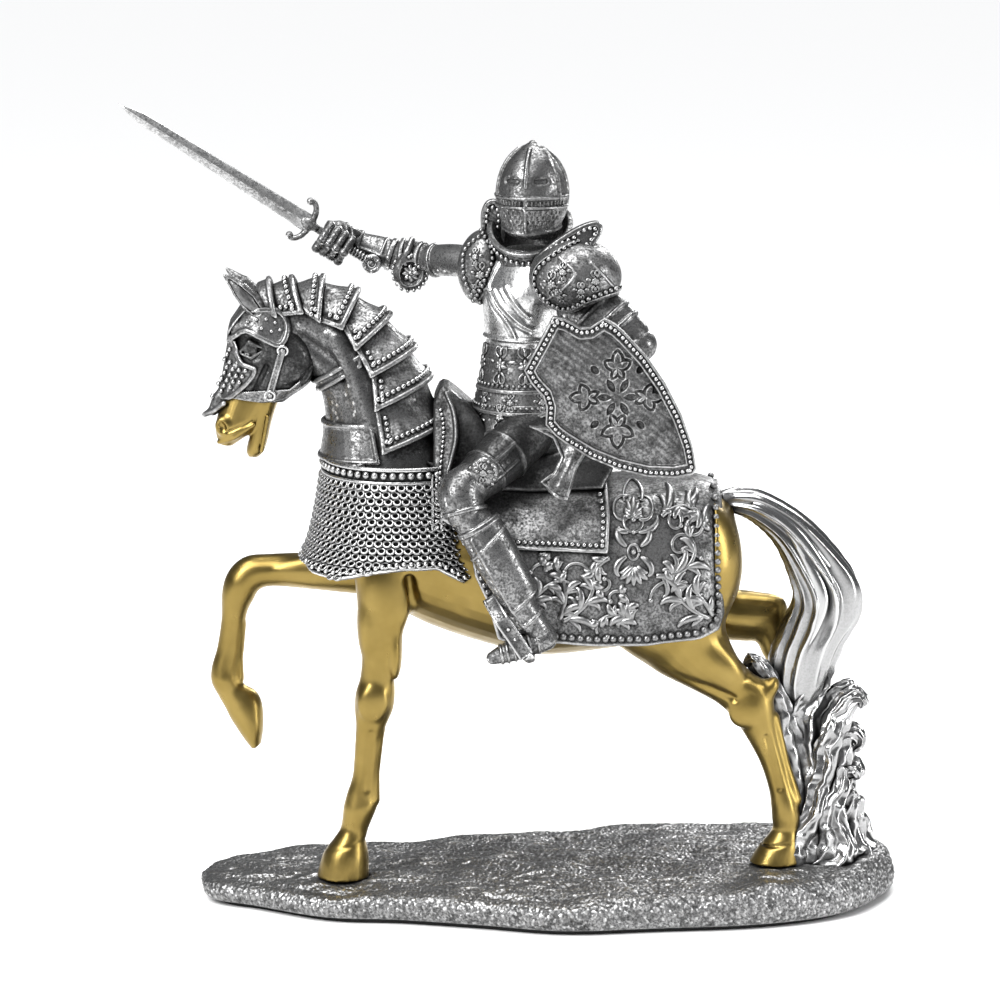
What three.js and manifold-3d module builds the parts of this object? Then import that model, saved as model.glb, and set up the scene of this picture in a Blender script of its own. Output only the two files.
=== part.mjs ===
// Armoured knight on a walking horse: a cast statuette, 1:10, in separate named pieces.
// Millimetres, +Z up. The origin is the middle of the felt's underside; the horse faces -X and
// its left side, with the shield, faces -Y. Only the sword moves: its tang slides in the fist.
import * as THREE from "three";
import { mergeVertices } from "three/addons/utils/BufferGeometryUtils.js";
import Module from "manifold-3d";

const wasm = await Module();
wasm.setup();

// ---- driving dimensions -------------------------------------------------------------------
const GAP = 0.3; // clearance between neighbouring pieces
const FELT = 1.2; // felt thickness
const GROUND_FRONT = 10.6; // height of the ground under the front hoof
const GROUND_RISE = 0.028; // how much the ground climbs per millimetre towards the tail
const FRONT_HOOF_X = -70;
const FOLD = 0.1; // surface detail finer than this is folded away
const CLOTH = 1.7; // thickness of cloth, mail and barding plates
const LEFT = -1; // the horse's and the rider's left is -Y
const RIGHT = 1;
const TORSO_YAW = 40; // degrees the rider's chest turns from the left side towards the front
const HEAD_YAW = 12;
const PIN_RADIUS = 1.2;
const TANG = { width: 2.6, thickness: 1.5, length: 9 };
const SWORD = { guard: [-81.5, 24, 229.7], angle: 32.5, blade: 74, width: 6.4, thickness: 1.9 };

const COLOURS = {
  silver: { color: 0xa9a9ad, roughness: 0.35, metalness: 0.9 },
  dark: { color: 0x6d6d70, roughness: 0.45, metalness: 0.85 },
  gold: { color: 0xc9a548, roughness: 0.3, metalness: 0.9 },
  stone: { color: 0x8b8b8c, roughness: 0.55, metalness: 0.7 },
  steel: { color: 0xc4c4c6, roughness: 0.3, metalness: 1.0 },
  felt: { color: 0x23241f, roughness: 0.95, metalness: 0.0 },
};

// ---- solids -------------------------------------------------------------------------------
const groundAt = (x) => GROUND_FRONT + (x - FRONT_HOOF_X) * GROUND_RISE;

function solid(geometry, tolerance = 1e-4) {
  const bare = geometry.clone();
  bare.deleteAttribute("normal");
  bare.deleteAttribute("uv");
  const merged = mergeVertices(bare, tolerance);
  return new wasm.Manifold(
    new wasm.Mesh({
      numProp: 3,
      vertProperties: new Float32Array(merged.attributes.position.array),
      triVerts: new Uint32Array(merged.index.array),
    }),
  );
}

// The solid with its surface moved out (or in, if mm is negative) along its normals.
function grow(piece, mm) {
  const mesh = piece.getMesh();
  const count = mesh.numVert;
  const tris = mesh.triVerts;
  const at = (i) => new THREE.Vector3().fromArray(mesh.vertProperties, i * mesh.numProp);
  const points = Array.from({ length: count }, (_, i) => at(i));
  const sums = points.map(() => new THREE.Vector3());
  const faces = [];
  for (let t = 0; t < tris.length; t += 3) {
    const [a, b, c] = [tris[t], tris[t + 1], tris[t + 2]];
    const ab = points[b].clone().sub(points[a]);
    const normal = ab.cross(points[c].clone().sub(points[a]));
    faces.push({ corners: [a, b, c], unit: normal.clone().normalize() });
    for (const i of [a, b, c]) sums[i].add(normal);
  }
  for (const sum of sums) sum.normalize();
  const lean = new Float32Array(count).fill(1);
  for (const { corners, unit } of faces)
    for (const i of corners) lean[i] = Math.min(lean[i], Math.max(0.5, unit.dot(sums[i])));
  const moved = new Float32Array(count * 3);
  points.forEach((p, i) => p.addScaledVector(sums[i], mm / lean[i]).toArray(moved, i * 3));
  return new wasm.Manifold(
    new wasm.Mesh({ numProp: 3, vertProperties: moved, triVerts: new Uint32Array(tris) }),
  );
}

const join = (...pieces) => pieces.reduce((all, piece) => all.add(piece));
// The piece with its neighbours, and the gap around them, taken away; only its largest body stays.
function clear(piece, ...neighbours) {
  const cut = neighbours.reduce((left, other) => left.subtract(grow(other, GAP)), piece);
  return largest(cut);
}
const largest = (piece) =>
  piece.decompose().reduce((best, body) => (body.volume() > best.volume() ? body : best));

// A closed tube through rings: a cylinder whose vertices are moved ring by ring.
// Each ring is { centre, side, up }, three vectors, and power is the superellipse exponent.
function tube(rings, sides, power = 2) {
  const geometry = new THREE.CylinderGeometry(1, 1, 1, sides, rings.length - 1);
  const position = geometry.attributes.position;
  for (let i = 0; i < position.count; i++) {
    const ring = rings[Math.round((0.5 - position.getY(i)) * (rings.length - 1))];
    const [x, z] = [position.getX(i), position.getZ(i)];
    const bulge = Math.hypot(x, z) < 0.5 ? 0 : (Math.abs(x) ** power + Math.abs(z) ** power) ** (-1 / power);
    const point = ring.centre.clone();
    point.addScaledVector(ring.side, x * bulge).addScaledVector(ring.up, z * bulge);
    position.setXYZ(i, point.x, point.y, point.z);
  }
  const made = solid(geometry);
  if (made.volume() > 0) return made;
  for (const ring of rings) ring.side.negate();
  return tube(rings, sides, power);
}

// Rings given by their upper and lower (or front and back) points in the side view and by their
// half width: [upperX, upperZ, lowerX, lowerZ, halfWidth]. y moves them all sideways.
function profile(stations, y = 0, sides = 16, power = 2) {
  const rings = stations.map(([ux, uz, lx, lz, w, dy = 0]) => ({
    centre: new THREE.Vector3((ux + lx) / 2, y + dy, (uz + lz) / 2),
    side: new THREE.Vector3(0, w, 0),
    up: new THREE.Vector3((ux - lx) / 2, 0, (uz - lz) / 2),
  }));
  return tube(rings, sides, power);
}

// Upright rings turned by yaw: [z, x, y, half width across the shoulders, half depth].
function tower(stations, yaw, sides = 20, power = 2) {
  const turn = THREE.MathUtils.degToRad(yaw);
  const rings = stations.map(([z, x, y, across, deep]) => ({
    centre: new THREE.Vector3(x, y, z),
    side: new THREE.Vector3(Math.cos(turn), -Math.sin(turn), 0).multiplyScalar(across),
    up: new THREE.Vector3(-Math.sin(turn), -Math.cos(turn), 0).multiplyScalar(deep),
  }));
  return tube(rings, sides, power);
}

// A limb along points, each [x, y, z, radius], with its ends rounded off.
function limb(points, sides = 12) {
  const line = points.map(([x, y, z]) => new THREE.Vector3(x, y, z));
  const last = line.length - 1;
  const along = (i) => line[Math.min(i + 1, last)].clone().sub(line[Math.max(i - 1, 0)]).normalize();
  const ring = (centre, direction, radius) => {
    const side = new THREE.Vector3(0, 0, 1).cross(direction);
    if (side.length() < 0.1) side.set(0, 1, 0);
    side.normalize();
    return {
      centre,
      side: side.clone().multiplyScalar(radius),
      up: direction.clone().cross(side).multiplyScalar(radius),
    };
  };
  const END = 0.55; // the rounded end's small ring, as a share of the radius
  const rings = line.map((p, i) => ring(p, along(i), points[i][3]));
  const first = line[0].clone().addScaledVector(along(0), -points[0][3] * END);
  const final = line[last].clone().addScaledVector(along(last), points[last][3] * END);
  rings.unshift(ring(first, along(0), points[0][3] * END));
  rings.push(ring(final, along(last), points[last][3] * END));
  return tube(rings, sides);
}

function ball([x, y, z], [rx, ry, rz], sides = 16) {
  const geometry = new THREE.SphereGeometry(1, sides, Math.round(sides * 0.6));
  geometry.rotateX(Math.PI / 2).scale(rx, ry, rz).translate(x, y, z);
  return solid(geometry);
}

// A side-view outline of [x, z] points, extruded from y0 to y1. With smooth it's a spline.
function slab(outline, y0, y1, smooth = false, bevel = 0) {
  const corners = outline.map(([x, z]) => new THREE.Vector2(x, z));
  let shape = new THREE.Shape(corners);
  if (smooth) {
    const ring = new THREE.CatmullRomCurve3(
      corners.map((c) => new THREE.Vector3(c.x, c.y, 0)),
      true,
    );
    const points = ring.getPoints(outline.length * 2).slice(0, -1);
    shape = new THREE.Shape(points.map((p) => new THREE.Vector2(p.x, p.y)));
  }
  const geometry = new THREE.ExtrudeGeometry(shape, {
    depth: y1 - y0 - 2 * bevel,
    bevelEnabled: bevel > 0,
    bevelSize: bevel,
    bevelOffset: -bevel,
    bevelThickness: bevel,
    bevelSegments: 1,
  });
  return solid(geometry.rotateX(Math.PI / 2).translate(0, y1 - bevel, 0));
}

// A shell of the form between two offsets, kept only inside the region.
const shell = (form, region, inner, outer) =>
  largest(grow(form, outer).intersect(region).subtract(grow(form, inner)));

const WIDE = 70; // past the object's half width, for regions cut right through
const region = (outline) => slab(outline, -WIDE, WIDE);

// ---- the node list ------------------------------------------------------------------------
const statue = new THREE.Group();
function add(name, rough, look) {
  const folded = largest(rough.simplify(FOLD));
  const piece = largest(solid(geometryOf(folded), 1e-3));
  const node = new THREE.Mesh(geometryOf(piece), new THREE.MeshStandardMaterial(COLOURS[look]));
  node.name = name;
  statue.add(node);
  return piece;
}
function geometryOf(piece) {
  const mesh = piece.getMesh();
  const geometry = new THREE.BufferGeometry();
  geometry.setAttribute("position", new THREE.BufferAttribute(new Float32Array(mesh.vertProperties), 3));
  geometry.setIndex(new THREE.BufferAttribute(new Uint32Array(mesh.triVerts), 1));
  return geometry;
}

// ---- base ---------------------------------------------------------------------------------
// The base's outline seen from above, [x, y].
const BASE_OUTLINE = [
  [-119, 3], [-115.5, -13], [-101, -21], [-76, -35], [-51, -38], [-24, -44], [4, -51], [34, -48],
  [71, -43], [98, -31], [113, -11], [118, 8], [110, 28], [84, 42], [48, 45], [8, 40], [-36, 33],
  [-76, 28], [-108, 20],
];
const BASE_BEVEL = 2.5;
const FELT_INSET = 0.96;

function plate(outline, z0, z1, bevel) {
  // The slab stands in the side view: lay it down so that its thickness runs up.
  const flat = slab(outline, z0 - z1, 0, true, bevel);
  return flat.rotate([-90, 0, 0]).translate([0, 0, z0]);
}

function makeBase() {
  const depth = GROUND_FRONT - FELT;
  const block = plate(BASE_OUTLINE, FELT + GAP, FELT + depth, BASE_BEVEL);
  return block.warp((v) => {
    if (v[2] > FELT + depth / 2) v[2] += groundAt(v[0]) - GROUND_FRONT;
  });
}
const felt = plate(BASE_OUTLINE.map(([x, y]) => [x * FELT_INSET, y * FELT_INSET]), 0, FELT, 0);

// ---- the horse's forms --------------------------------------------------------------------
const BODY = [
  [63, 130, 63, 114, 8], [60.5, 139, 62, 104, 18], [51, 143, 53, 96, 24.5], [36, 144, 36, 91, 28.5],
  [17, 143.5, 17, 87.5, 30], [-3, 142.5, -4, 85.7, 30.5], [-20, 144.5, -19, 89, 29],
  [-34, 149, -34, 93, 26.5], [-48, 152, -47, 98, 24.5], [-62, 152, -60, 108, 21.5],
  [-72, 148, -70, 117, 16.5], [-77, 140, -75.5, 124, 8],
];
const NECK = [
  [-98, 211.5, -93.5, 201, 6.4], [-90, 212, -84, 186, 8.5], [-76, 212.5, -78.8, 180, 10.5],
  [-62.5, 206, -77.2, 175.5, 11.5], [-52, 196, -76.2, 169.5, 12.8], [-44.5, 183.5, -76.2, 162, 15.5],
  [-39, 170, -77.5, 153, 18.5], [-33, 158, -77.5, 143, 21],
];
const HEAD = [
  [-98, 210, -89.5, 208.5, 5.5], [-103.5, 205, -86, 201, 8.3], [-106.6, 199, -81, 193.5, 9.8],
  [-107.4, 192, -79.5, 185.5, 10.2], [-108.4, 185, -81.5, 179, 9.6], [-109.8, 178, -87.5, 174.6, 7.8],
  [-110.8, 173.2, -94.5, 170.6, 6.6],
];
const UPPER_LIP = [
  [-111.2, 174.5, -94.2, 170.6, 5.9], [-112.6, 168, -98.5, 165.5, 6.4], [-112.8, 162.8, -103.6, 161.6, 5.6],
  [-111.6, 159, -107.8, 158.6, 3.6],
];
const LOWER_LIP = [
  [-100.8, 168.5, -94.4, 169.2, 5.2], [-101.8, 162.5, -95.6, 163.2, 4.6], [-102.8, 157.2, -96.4, 157.6, 4],
  [-102.4, 154.6, -99.2, 154.6, 2.6],
];
const TAIL = [
  [61, 142.6, 61, 135.6, 4.4], [71.4, 141, 69, 132.4, 5.8], [84.5, 133.4, 77, 125, 7.2],
  [95, 123, 82.4, 113, 8.4], [103.4, 111, 84.4, 104, 9], [106.4, 100.2, 84, 95, 9.2],
  [105.8, 87, 83, 86, 8.8], [101.2, 74, 85.5, 77.5, 7.2], [96, 67.5, 88.5, 70.5, 4.6],
];
// Legs, from the body down. The standing ones end on the ground.
const LEGS = {
  fore_leg_left: {
    y: -16,
    rings: [
      [-67, 119, -45, 119, 7.2], [-65.6, 112.5, -46.6, 112.5, 7.6], [-64.8, 104, -47.4, 104, 7.2],
      [-63.8, 89, -51, 89, 5.9], [-64.2, 80.5, -52.2, 80.5, 4.9], [-66, 75.3, -52, 75.3, 5.5],
      [-66.2, 70, -53.2, 70, 5.3], [-66, 63.4, -55.7, 63.4, 4.3], [-66.3, 54.8, -57.6, 54.8, 3.8],
      [-67.3, 46.4, -58.6, 46.4, 3.8], [-70, 38, -59, 38, 4.6], [-70.4, 34.4, -59.4, 34.4, 4.8],
      [-71, 28.6, -62.2, 28.6, 4.2], [-75.2, 22.7, -62.8, 22.7, 6.3], [-78.2, 17, -62.4, 17, 7.9],
      [-79.4, groundAt(-71) + GAP, -62.2, groundAt(-71) + GAP, 8.5],
    ],
  },
  fore_leg_right: {
    y: 15,
    rings: [
      [-58, 119, -55, 102, 7.6], [-72, 117.6, -71, 103.6, 7.2], [-86, 117.2, -85, 104.6, 6.2],
      [-96, 116.8, -95, 105.4, 5.4], [-104.4, 116, -99.8, 104.2, 5.4], [-110, 111.4, -102.4, 100.8, 5.7],
      [-112.6, 104.6, -104.2, 97.4, 5.2], [-113.2, 94.4, -104.8, 92.8, 4.2], [-115.2, 84, -105.8, 84, 3.8],
      [-116.8, 76.4, -107.4, 76.8, 4.1], [-116.4, 70.6, -107.8, 72, 4.6], [-113.8, 65.4, -104.6, 69.4, 4.3],
      [-111, 60, -100, 65.8, 5.3], [-107.4, 54, -99.6, 59.6, 5.7], [-103.6, 49.2, -100.6, 51.6, 4.4],
    ],
  },
  hind_leg_left: {
    y: -13,
    rings: [
      [57, 112, 24, 104, 11.5], [58, 97, 26, 91, 10.6], [62.6, 86.6, 35, 82.6, 8.4],
      [68.6, 80.6, 50, 75, 6.4],
      [73, 76.6, 59, 70, 5.6], [75.2, 70, 64.4, 63.6, 5.4], [76.8, 61.6, 69.2, 55, 4.4],
      [80.2, 49.6, 73.4, 46.4, 4], [83.4, 39, 75.2, 37.4, 4.2], [85.4, 32.4, 75.6, 32, 4.8],
      [85.6, 27, 76, 27, 4.5], [86.2, 22.6, 73.2, 22.6, 6.3],
      [86.4, groundAt(78) + GAP, 68.8, groundAt(78) + GAP, 8],
    ],
  },
  hind_leg_right: {
    y: 14,
    rings: [
      [52, 118, 37, 98, 10.5], [60, 105.5, 58, 88, 8.6], [70, 103.6, 67, 86.8, 7],
      [80.2, 100.8, 71.6, 86.4, 5.8],
      [81.6, 93.6, 73.6, 82, 5], [81.8, 84, 75.4, 78.6, 4.3], [82.2, 66.5, 76.6, 66.5, 4],
      [83.6, 53.2, 76.6, 53.4, 4.6], [86, 47.6, 79.4, 45.6, 4.3], [89.4, 42.6, 80.6, 39.8, 5.5],
      [89.4, 34, 85, 30.4, 4.6],
    ],
  },
};
// The cloth hangs from the horse's widest line, so its form is deeper and squarer than the body.
const CLOTH_FORM = [
  [58.6, 142, 58.6, 66, 20], [55, 146, 55, 62, 27], [46, 147.6, 46, 60, 31], [30, 147.6, 30, 60, 33],
  [12, 147, 12, 60, 33.6], [-6, 147, -6, 60, 33.4], [-22, 149, -22, 60, 32], [-34, 152.5, -34, 60, 30.5],
  [-42, 154, -42, 60, 29.5],
];
// The mail hangs round the chest like a skirt: [z, x, y, half width in y, half length in x].
const MAIL_FORM = [
  [108, -51, 0, 38, 31.5], [118, -51, 0, 35, 30], [126, -51, 0, 31.5, 28.6], [138, -51, 0, 29, 27.4],
  [152, -51, 0, 28.6, 26], [158, -51, 0, 28.2, 25.4],
];

const base = makeBase();
const bodyForm = profile(BODY, 0, 20);
const neckForm = profile(NECK, 0, 16);
const headForm = profile(HEAD, 0, 12);
const legForms = {};
for (const [name, leg] of Object.entries(LEGS)) legForms[name] = profile(leg.rings, leg.y, 10);
const clothForm = profile(CLOTH_FORM, 0, 22, 2.4);
const mailForm = tower(MAIL_FORM, 90, 22);

// ---- anchor pins, from the base up into the two standing hooves -----------------------------
function pin(x, y, z0, z1, radius) {
  const geometry = new THREE.CylinderGeometry(radius, radius, z1 - z0, 16);
  return solid(geometry.rotateX(Math.PI / 2).translate(x, y, (z0 + z1) / 2));
}
const PINS = {
  hoof_pin_front: [-69.3, LEGS.fore_leg_left.y, 4.5, 25],
  hoof_pin_rear: [80.6, LEGS.hind_leg_left.y, 4.5, 27],
};
const pinHoles = Object.values(PINS).map(([x, y, z0, z1]) =>
  pin(x, y, z0 - GAP, z1 + GAP, PIN_RADIUS + GAP),
);

add("felt_pad", felt, "felt");
add("base", pinHoles.reduce((left, hole) => left.subtract(hole), base), "stone");
for (const [name, [x, y, z0, z1]] of Object.entries(PINS))
  add(name, pin(x, y, z0, z1, PIN_RADIUS), "steel");

// ---- horse castings -------------------------------------------------------------------------
const body = add("horse_body", bodyForm, "gold");
const neck = add("horse_neck", clear(neckForm, body), "dark");
const head = add("horse_head", clear(headForm, neck), "dark");
const legs = Object.entries(legForms).map(([name, form]) => {
  const cut = pinHoles.reduce((left, hole) => left.subtract(hole), clear(form, body));
  return add(name, largest(cut), "gold");
});
const lips = join(profile(UPPER_LIP, 0, 12), profile(LOWER_LIP, 0, 10));
const muzzle = add("muzzle", clear(lips, headForm), "gold");

function ear(side) {
  const line = [
    [-96.5, 5.5, 205, 3.2], [-101, 6.4, 210, 3.1], [-105.6, 6.8, 214.4, 1.6], [-107, 6.8, 215.8, 0.7],
  ];
  const cone = limb(line.map(([x, y, z, radius]) => [x, side * y, z, radius]), 10);
  const hollow = limb([[-102.4, side * 8.2, 208.6, 1.3], [-106.4, side * 8, 212.8, 0.8]], 8);
  return clear(cone.subtract(hollow), headForm, neckForm);
}
const ears = [add("ear_left", ear(LEFT), "dark"), add("ear_right", ear(RIGHT), "dark")];

// The face plate: down the forehead and nose to a point, with a flared guard over each eye.
const FACE_PLATE = [
  [-96, 209.5], [-93, 205], [-91, 200], [-92, 196], [-95, 194], [-99, 196.5], [-104, 197.6], [-105.5, 193],
  [-103, 187], [-99.5, 184], [-104, 176], [-108.5, 170], [-117, 166.4], [-117, 182], [-114, 200],
  [-106, 212],
];
const faceShell = shell(headForm, region(FACE_PLATE), GAP + 0.1, CLOTH);
const chanfron = add("chanfron", clear(faceShell, neckForm, muzzle, ...ears), "silver");
// Cheek straps joined by a band round the jaw.
const CHEEK_STRAP = [[-89.5, 192], [-87.4, 192], [-93.4, 174], [-95.6, 174]];
const JAW_BAND = [[-120, 175.6], [-120, 171.8], [-90, 174.6], [-84, 179.2]];
const straps = shell(headForm, join(region(CHEEK_STRAP), region(JAW_BAND)), GAP + 0.1, 1.3);
add("bridle", clear(straps, muzzle, chanfron, neckForm), "silver");

// ---- neck armour ------------------------------------------------------------------------------
// Where each lame's trailing edge meets the crest and its lower corner, from the poll down.
const CREST = [
  [-96, 217], [-89.5, 222], [-75.5, 224], [-60, 219], [-47, 208], [-38.5, 194.5], [-37, 182], [-37, 166],
];
const CORNERS = [
  [-90.5, 202], [-85, 203.6], [-77, 202.4], [-69.4, 199.6], [-65.4, 192.6], [-60.6, 183.6], [-59, 172.6],
  [-56.2, 159.4],
];
const LAMES = CREST.length;
const INNER_LEAD = 0.5; // a lame starts this far from the neck
const LAME = { low: 1.9, rim: 2.9, rimWidth: 1.9 };

// The region between two lines that fan out from crest to corner, a hair apart from its neighbour.
function lameRegion(i) {
  const lead = i === 0 ? [[-98.5, 212], [-94.5, 203.5]] : [CREST[i - 1], CORNERS[i - 1]];
  const [a, b] = lead.map((p) => new THREE.Vector2(...p));
  const [c, d] = [CREST[i], CORNERS[i]].map((p) => new THREE.Vector2(...p));
  const shift = c.clone().sub(a).add(d.clone().sub(b)).normalize();
  const off = (p, mm) => p.clone().addScaledVector(shift, mm).toArray();
  return {
    whole: [off(a, GAP), off(c, 0), off(d, 0), off(b, GAP)],
    rim: [off(c, -LAME.rimWidth), off(c, 0), off(d, 0), off(d, -LAME.rimWidth)],
  };
}
const neckArmour = join(neckForm, bodyForm);
const lames = [];
for (let i = 0; i < LAMES; i++) {
  const { whole, rim } = lameRegion(i);
  const sheet = shell(neckForm, region(whole), INNER_LEAD, LAME.low);
  const edge = grow(neckForm, LAME.rim).intersect(region(rim)).subtract(grow(neckForm, INNER_LEAD));
  const piece = clear(join(sheet, edge), headForm, bodyForm, chanfron, ...ears);
  lames.push(add(i === 0 ? "poll_plate" : `crinet_lame_${i}`, piece, "silver"));
}
// The lowest band passes under the last lame.
const THROAT_BAND = [[-82, 179], [-80.5, 171.5], [-66.5, 182], [-68.2, 189.5]];
const throatShell = shell(neckForm, region(THROAT_BAND), INNER_LEAD, 1.5);
add("throat_band", clear(throatShell, headForm, ...lames), "silver");
const NECK_BAND = [[-84, 165], [-84, 155.5], [-58.5, 156.5], [-60.5, 167]];
const bandShell = shell(neckArmour, region(NECK_BAND), INNER_LEAD, 1.5);
const neckBand = add("neck_band", clear(bandShell, ...lames), "silver");

// ---- cloths -------------------------------------------------------------------------------------
const MAIL_SKIRT = [
  [-95, 155.4], [-39, 155.4], [-39, 137.4], [-29.5, 134], [-28, 118], [-38, 121.4], [-50, 121.2],
  [-60, 119.8], [-71, 117.6], [-78, 118.6], [-84, 122], [-95, 126],
];
const CAPARISON = [
  [-29, 160], [-27.4, 131], [-25.2, 119], [-21.4, 111], [-17, 97.4], [3, 96.6], [17, 95.6], [33, 95.8],
  [50, 97.6], [57.6, 100.4], [57.6, 160],
];
const BLANKET = [
  [-37.4, 160], [-38, 138.4], [-31, 135], [-29.4, 129.6], [-8, 128.4], [19, 127.4], [19.4, 139],
  [16.6, 160],
];
const allLegs = Object.values(legForms);
const hindCloth = shell(clothForm, region(CAPARISON), -CLOTH, 0);
const caparison = add("caparison", clear(hindCloth, body, neckForm, ...allLegs), "silver");
const underCloth = shell(clothForm, region(BLANKET), GAP + 0.1, CLOTH);
const blanket = add("saddle_blanket", clear(underCloth, body, neck, caparison, ...lames), "silver");
const MAIL_BORDER = [[-95, 155.4], [-39, 155.4], [-39, 151.4], [-95, 151.4]];
const mailSheet = shell(mailForm, region(MAIL_SKIRT), -CLOTH, 0);
const mailBorder = shell(mailForm, region(MAIL_BORDER), -CLOTH, 1.2);
const mailNeighbours = [body, neckForm, neckBand, blanket, caparison, ...lames, ...allLegs];
const mail = add("mail_peytral", clear(join(mailSheet, mailBorder), ...mailNeighbours), "silver");

// ---- rider's forms --------------------------------------------------------------------------------
const CUIRASS = [
  [189, -11.5, -1, 10.4, 8.4], [194, -11, -1, 11, 9], [202, -10, -1.2, 13, 10.6],
  [210, -9, -1.5, 14.4, 11.2], [217, -8, -1, 14.6, 10], [222, -7.6, -1, 12, 8.4], [225.5, -7, -1, 7.4, 6.8],
];
const HELMET = [
  [230.6, -6.2, -2.6, 6.4, 7.6], [234, -6.2, -2.6, 9, 10.4], [239, -6.1, -2.4, 10.8, 11.8],
  [245, -6, -2, 11.5, 11.8], [251, -6, -1.8, 10.7, 10.9], [255.6, -6, -1.8, 8, 8.2],
  [258.8, -6, -1.8, 4.4, 4.6], [260, -6, -1.8, 2.2, 2.4], [261.2, -6, -1.8, 1, 1],
];
const GORGET = [
  [221, -7.2, -1.2, 10.6, 9.6], [224.5, -7.2, -1.4, 11.6, 10.8], [229, -7.3, -1.2, 12.8, 12],
  [234, -7.4, -1, 14.4, 13.2], [241, -7.6, -0.6, 15.8, 14.4],
];
const COLLAR = { wall: 1.4, rimHeight: 232, tilt: 0.6 }; // the rim is low in front and high behind
const FAULD = [
  [171, -10.5, -1, 15.6, 14], [176, -11, -1, 14.4, 12.6], [182, -11.4, -1, 12.4, 10.8],
  [188.6, -11.6, -1, 10.8, 9],
];
const SKIRT = [
  [157, -9, -1, 19.5, 18.5], [162, -9.5, -1, 18, 17], [170.6, -10.4, -1, 15.8, 14.2],
];
const saddleOutline = [
  [-36.8, 147], [-36.2, 178.2], [-33.6, 179], [-31, 174], [-28, 160], [-18, 156], [2, 156], [10, 160],
  [14, 172], [17, 171], [17.6, 147],
];
const LIMBS = {
  thigh_left: [[-8, -12, 164, 9], [-17, -23, 157.5, 8.6], [-26, -33, 151, 7.2]],
  thigh_right: [[-12, 10, 164, 9], [-21, 21, 158, 8.6], [-30, 31, 152, 7.2]],
  knee_left: [[-27, -34.5, 151.4, 7.2], [-30, -38, 148.4, 7.6], [-27.6, -40, 141.6, 6.6]],
  knee_right: [[-31, 32.5, 152, 7.2], [-34, 36, 149, 7.6], [-31.8, 38, 142, 6.6]],
  greave_left: [
    [-25.4, -41, 139, 6.3], [-19, -42, 128, 6.4], [-11, -42, 114, 5.2], [-4.4, -41.6, 104, 4.2],
  ],
  greave_right: [
    [-29.6, 39.4, 139.6, 6.3], [-23.4, 41, 128.6, 6.4], [-16, 41, 115, 5.2], [-9.6, 40.6, 105, 4.2],
  ],
  sabaton_left: [
    [-1.6, -41.8, 100, 3.8], [-9, -42.2, 97.4, 4], [-16, -42.8, 95, 3.2], [-20, -43.2, 93.4, 1.8],
  ],
  sabaton_right: [
    [-6.8, 40.8, 101, 3.8], [-14, 41.2, 98.4, 4], [-21, 41.8, 96, 3.2], [-25, 42.2, 94.4, 1.8],
  ],
  upper_arm_right: [[-24, 12, 218.4, 5], [-34, 19.4, 218.6, 5], [-42, 25, 218, 4.8]],
  couter_right: [[-44.6, 26.4, 217.6, 5.4], [-47.4, 27.6, 217, 6.4], [-50.6, 28, 217.6, 5]],
  forearm_right: [[-52.6, 28.6, 218.4, 4.8], [-60, 30.2, 220.4, 4.6], [-67, 30.4, 222.8, 4]],
  upper_arm_left: [[13, -17.4, 215, 5.4], [21, -20, 206, 5.2], [27, -22, 199.4, 4.8]],
  forearm_left: [[29.4, -22.6, 195.6, 5.4], [20, -27, 190, 4.8], [10, -31.6, 184.4, 4.2]],
};
const forms = {};
for (const [name, points] of Object.entries(LIMBS)) forms[name] = limb(points, 10);

const cuirass = add("cuirass", tower(CUIRASS, TORSO_YAW, 16), "silver");
const helmetForm = tower(HELMET, HEAD_YAW, 14);
const helmet = add("helmet", clear(helmetForm, cuirass), "dark");
// The face of the helmet: a shell over the front, brow to chin.
const VISOR_BACK = 1.5; // the visor's rear edge lies this far in front of the helmet's axis
function visorRegion() {
  const block = solid(new THREE.BoxGeometry(60, 40, 24.4).translate(0, -20 - VISOR_BACK, 243.4));
  return block.rotate([0, 0, -HEAD_YAW]).translate([-6, -2, 0]);
}
const visor = add("visor", clear(shell(helmetForm, visorRegion(), GAP, 1.3), cuirass), "silver");
// The collar is an open bowl, cut off by a plane that falls towards the front.
const collarForm = tower(GORGET, HEAD_YAW, 14);
const collarBowl = collarForm.subtract(grow(collarForm, -COLLAR.wall).translate([0, 0, 1.5]));
const [, collarX, collarY] = GORGET[1];
const headTurn = THREE.MathUtils.degToRad(HEAD_YAW);
const upAndForward = new THREE.Vector3(-Math.sin(headTurn), -Math.cos(headTurn), 0)
  .multiplyScalar(COLLAR.tilt)
  .add(new THREE.Vector3(0, 0, 1));
const rimPoint = new THREE.Vector3(collarX, collarY, COLLAR.rimHeight);
const rimOffset = rimPoint.dot(upAndForward) / upAndForward.length();
const collar = collarBowl.trimByPlane(upAndForward.clone().negate().toArray(), -rimOffset);
const gorget = add("gorget", clear(collar, cuirass, helmet, visor), "silver");

const saddle = slab(saddleOutline, -13.5, 13.5, false, 1.6);
const thighForms = [forms.thigh_left, forms.thigh_right];
const fauld = add("fauld", clear(tower(FAULD, TORSO_YAW, 16), cuirass, ...thighForms), "silver");
const skirtForm = tower(SKIRT, TORSO_YAW, 16);
const skirt = add("skirt", clear(skirtForm, fauld, ...thighForms), "silver");
const saddleNeighbours = [body, neck, caparison, blanket, skirt, ...thighForms, ...lames];
add("saddle", clear(saddle, ...saddleNeighbours), "dark");

const thighs = ["thigh_left", "thigh_right"].map((name) =>
  add(name, clear(forms[name], body, caparison, blanket), "dark"),
);
const knees = ["knee_left", "knee_right"].map((name) =>
  add(name, clear(forms[name], body, caparison, blanket, mail, ...thighs), "silver"),
);
const greaves = ["greave_left", "greave_right"].map((name) =>
  add(name, clear(forms[name], caparison, blanket, mail, ...knees), "silver"),
);

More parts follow.
